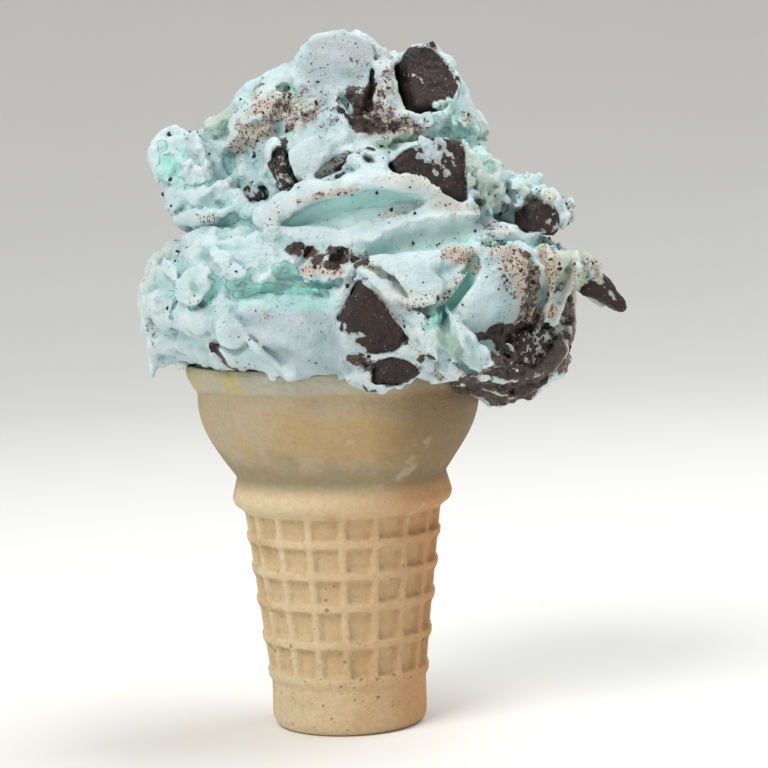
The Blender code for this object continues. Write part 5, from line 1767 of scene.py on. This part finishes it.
class MintStudioLooks(bpy.types.PropertyGroup):
    """The floor and the lights."""
    floor: tint("Floor", "Colour of the floor and backdrop", 244, 243, 240)
    key: bpy.props.FloatProperty(name="Key light", description="Power of the main light",
                                 default=9.2, min=0, subtype="POWER", unit="POWER")
    fill: bpy.props.FloatProperty(name="Fill light", description="Power of the weaker light",
                                  default=0.7, min=0, subtype="POWER", unit="POWER")
    top: bpy.props.FloatProperty(name="Top light", description="Power of the light from above",
                                 default=8.0, min=0, subtype="POWER", unit="POWER")
    sky: bpy.props.FloatProperty(name="Room light", description="Strength of the light all round",
                                 default=0.3, min=0)


# Operators ------------------------------------------------------------------


def finish_piece(piece, material, node):
    """Give a piece its material and its place in the frame."""
    piece.data.materials.clear()
    piece.data.materials.append(material)
    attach(piece, "root")
    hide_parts(node)


class MINT_OT_ice_cream(bpy.types.Operator):
    """Model both scoops over their solids"""
    bl_idname = "mint_cone.ice_cream"
    bl_label = "Ice cream"

    def execute(self, context):
        heap, parting = shaped_heap()
        material = mint_material(context.scene.mint_ice_cream)
        field = heap.clay.field
        lower = scoop_piece("lower_scoop_looks", np.maximum(field, parting), heap)
        finish_piece(lower, material, "scoop_lower")
        under = field + 0.3 * smooth_step(parting, 0.0, -0.5)
        upper = scoop_piece("upper_scoop_looks", np.maximum(under, -parting - 1.2), heap)
        finish_piece(upper, material, "scoop_upper")
        return {"FINISHED"}


class MINT_OT_cookies(bpy.types.Operator):
    """Model the broken cookie pieces over their solids"""
    bl_idname = "mint_cone.cookies"
    bl_label = "Cookie pieces"

    def execute(self, context):
        heap, _ = shaped_heap()
        material = cookie_material(context.scene.mint_cookies)
        for number, name in enumerate(COOKIES):
            seat = cookie_clay(name)
            clay = Clay(seat.low + COOKIE_EDGE, [axis[-1] - COOKIE_EDGE for axis in seat.axes],
                        COOKIE_FINE)
            clay.field = refine(seat, clay.axes) - COOKIE_SWELL
            near = np.abs(clay.field) < 2
            index = np.nonzero(near)
            points = np.stack([axis[i] for axis, i in zip(clay.axes, index)], axis=1) + 20 * number
            clay.field[index] += (0.5 * rumple(points, 3.0, 2)
                                  + 0.35 * rumple(points, 1.2, 3, 0.7, True))
            piece = make_piece(f"{name}_looks", *drop_specks(*skin_of(clay)))
            points = points_of(piece)
            paint(piece, "stain", [smooth_step(heap.clay.sample(points), 0.8, -0.1)])
            finish_piece(piece, material, name)
        return {"FINISHED"}


class MINT_OT_wafer(bpy.types.Operator):
    """Turn the wafer cup and press the cells of its grid"""
    bl_idname = "mint_cone.wafer"
    bl_label = "Wafer cup"

    def execute(self, context):
        looks = context.scene.mint_wafer
        material = wafer_material(looks)
        wafer, points, outer, gap = turned_wafer()
        run_tree(wafer, rib_tree(material), {
            "Rib Count": float(looks.rib_count), "Cell Depth": looks.cell_depth,
            "Upright Rib Width": looks.upright_width, "Level Rib Width": looks.level_width,
            "Rib Flank": looks.flank})
        height = points[:, 2]
        low = smooth_step(height, 34, 12) * smooth_step(gap, 1.6, 0.6) * (height > 9)
        pits = np.maximum(low, 0.25 * smooth_step(height, 48, 20))
        bowl = smooth_step(height, 52.5, 56.5)
        starch = smooth_step(height, 20, 40)
        paint(wafer, "stain", [pits * outer, bowl, starch])
        ragged = rumple(points.astype(np.float32), 7.0, 4, 0.6)
        tan = smooth_step(np.abs(height - 66 + points[:, 0] * 0.12) + 5 * ragged, 6, 2.5)
        tan *= smooth_step(np.abs(points[:, 0] - 4) + 9 * ragged, 20, 10) * bowl
        # The bowl turns darker and greenish grey towards its foot: painted shade.
        bowl_foot_shade = smooth_step(height + 5 * ragged + points[:, 0] * 0.1, 62.5, 57) * bowl
        lip = smooth_step(height, 75.2, 76.4) * outer
        paint(wafer, "soil", [tan, bowl_foot_shade, lip])
        wafer.data.shade_smooth()
        finish_piece(wafer, material, "wafer_cup")
        return {"FINISHED"}


class MINT_OT_crumbs(bpy.types.Operator):
    """Strew cookie crumbs over the ice cream"""
    bl_idname = "mint_cone.crumbs"
    bl_label = "Crumbs"

    def execute(self, context):
        looks = context.scene.mint_cookies
        scoops = [bpy.data.objects[name] for name in ("lower_scoop_looks", "upper_scoop_looks")]
        material = bpy.data.materials["chocolate cookie"]
        strew("fine_cookie_crumbs", scoops, "soil", material, FINE_CRUMBS,
              looks.smallest, looks.largest, 3)
        strew("coarse_cookie_crumbs", scoops, "dark", material, COARSE_CRUMBS,
              looks.largest, 2.2 * looks.largest, 9)
        return {"FINISHED"}


CAMERA_PLACE = (0.0101, -0.503, 0.1169)
CAMERA_AIM = (0.0101, 0.0, 0.0749)
CAMERA_ROLL = -2.05
VIEW_WIDTH = 0.1688064          # metres across the view, at the object's middle
SENSOR = 36.0
FLOOR_RADIUS = 0.8              # flat part of the floor
BACKDROP_REACH = 1.2
BACKDROP_HEIGHT = 1.0
FLOOR_RINGS = 12
FLOOR_COLUMNS = 96


class MINT_OT_studio(bpy.types.Operator):
    """Make the floor, the lights and the camera"""
    bl_idname = "mint_cone.studio"
    bl_label = "Studio"

    def execute(self, context):
        looks = context.scene.mint_studio
        self.add_floor(looks)
        self.add_lights(context, looks)
        self.add_camera(context)
        return {"FINISHED"}

    def add_floor(self, looks):
        """A round floor that curves up far away into a backdrop."""
        rings = [(FLOOR_RADIUS * 3 / 8, 0.0), (FLOOR_RADIUS, 0.0)]
        for step in range(1, FLOOR_RINGS + 1):
            angle = math.pi / 2 * step / FLOOR_RINGS
            rings.append((FLOOR_RADIUS + BACKDROP_REACH * math.sin(angle),
                          BACKDROP_HEIGHT * (1 - math.cos(angle))))
        work = bmesh.new()
        middle = work.verts.new((0, 0, 0))
        last = None
        for radius, height in rings:
            angles = [2 * math.pi * k / FLOOR_COLUMNS for k in range(FLOOR_COLUMNS)]
            loop = [work.verts.new((radius * math.cos(angle), radius * math.sin(angle), height))
                    for angle in angles]
            for k in range(FLOOR_COLUMNS):
                after = (k + 1) % FLOOR_COLUMNS
                if last is None:
                    work.faces.new((middle, loop[k], loop[after]))
                else:
                    work.faces.new((last[k], loop[k], loop[after], last[after]))
            last = loop
        mesh = bpy.data.meshes.new("studio_floor")
        work.to_mesh(mesh)
        work.free()
        mesh.shade_smooth()
        floor = bpy.data.objects.new("studio_floor", mesh)
        bpy.context.scene.collection.objects.link(floor)
        material, tree, shader, place = new_material("studio floor")
        base = blended(tree, ramp(tree, waves(tree, place, 0.4), 0.3, 0.7), colour(looks.floor),
                       colour([value * 0.985 for value in looks.floor]))
        tree.links.new(base, shader.inputs["Base Color"])
        shader.inputs["Roughness"].default_value = 0.9
        mesh.materials.append(material)

    def add_lights(self, context, looks):
        """A broad key from the upper left, a weak fill from the right, one from above, and room light."""
        for name, place, size, power, tone in (
                ("key", (-0.5, -0.62, 0.9), 0.6, looks.key, (1.0, 0.99, 0.97)),
                ("fill", (0.8, -0.5, 0.25), 0.8, looks.fill, (1.0, 0.94, 0.88)),
                ("top", (0.4, 0.15, 1.0), 0.8, looks.top, (0.96, 0.99, 1.0))):
            light = bpy.data.lights.new(name, "AREA")
            light.size = size
            light.energy = power
            light.color = tone
            lamp = bpy.data.objects.new(name, light)
            lamp.location = place
            lamp.rotation_euler = (Vector((0, 0, 0.09)) - Vector(place)).to_track_quat(
                "-Z", "Y").to_euler()
            context.scene.collection.objects.link(lamp)
        world = bpy.data.worlds.new("room")
        world.use_nodes = True
        light = world.node_tree.nodes["Background"]
        light.inputs["Color"].default_value = (1.0, 1.0, 1.0, 1.0)
        light.inputs["Strength"].default_value = looks.sky
        context.scene.world = world
        context.scene.view_settings.view_transform = "Standard"

    def add_camera(self, context):
        """The camera, nearly level with the cup's rim."""
        data = bpy.data.cameras.new("camera")
        place, aim = Vector(CAMERA_PLACE), Vector(CAMERA_AIM)
        data.sensor_width = SENSOR
        data.lens = (aim - place).y / VIEW_WIDTH * SENSOR
        camera = bpy.data.objects.new("camera", data)
        turn = (aim - place).to_track_quat("-Z", "Y").to_matrix().to_4x4()
        camera.matrix_world = (Matrix.Translation(place) @ turn
                               @ Matrix.Rotation(math.radians(CAMERA_ROLL), 4, "Z"))
        context.scene.collection.objects.link(camera)
        context.scene.camera = camera


class MINT_PT_panel(bpy.types.Panel):
    """The steps and their sizes and colours"""
    bl_idname = "MINT_PT_panel"
    bl_label = "Mint Cone"
    bl_space_type = "VIEW_3D"
    bl_region_type = "UI"
    bl_category = "Mint Cone"

    def draw(self, context):
        for step, group in STEPS:
            box = self.layout.box()
            box.operator(step.bl_idname)
            looks = getattr(context.scene, group)
            for name in type(looks).__annotations__:
                box.prop(looks, name)


STEPS = ((MINT_OT_wafer, "mint_wafer"), (MINT_OT_ice_cream, "mint_ice_cream"),
         (MINT_OT_cookies, "mint_cookies"), (MINT_OT_crumbs, "mint_cookies"),
         (MINT_OT_studio, "mint_studio"))
GROUPS = {"mint_ice_cream": MintIceCreamLooks, "mint_cookies": MintCookieLooks,
          "mint_wafer": MintWaferLooks, "mint_studio": MintStudioLooks}
CLASSES = [*GROUPS.values(), *[step for step, _ in STEPS], MINT_PT_panel]


def register():
    for kind in CLASSES:
        bpy.utils.register_class(kind)
    for name, kind in GROUPS.items():
        setattr(bpy.types.Scene, name, bpy.props.PointerProperty(type=kind))


def unregister():
    for name in GROUPS:
        delattr(bpy.types.Scene, name)
    for kind in reversed(CLASSES):
        bpy.utils.unregister_class(kind)


def main():
    """Make every piece."""
    register()
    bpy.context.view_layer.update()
    bpy.ops.mint_cone.wafer()
    bpy.ops.mint_cone.ice_cream()
    bpy.ops.mint_cone.cookies()
    bpy.ops.mint_cone.crumbs()
    bpy.ops.mint_cone.studio()


if __name__ == "__main__":
    main()
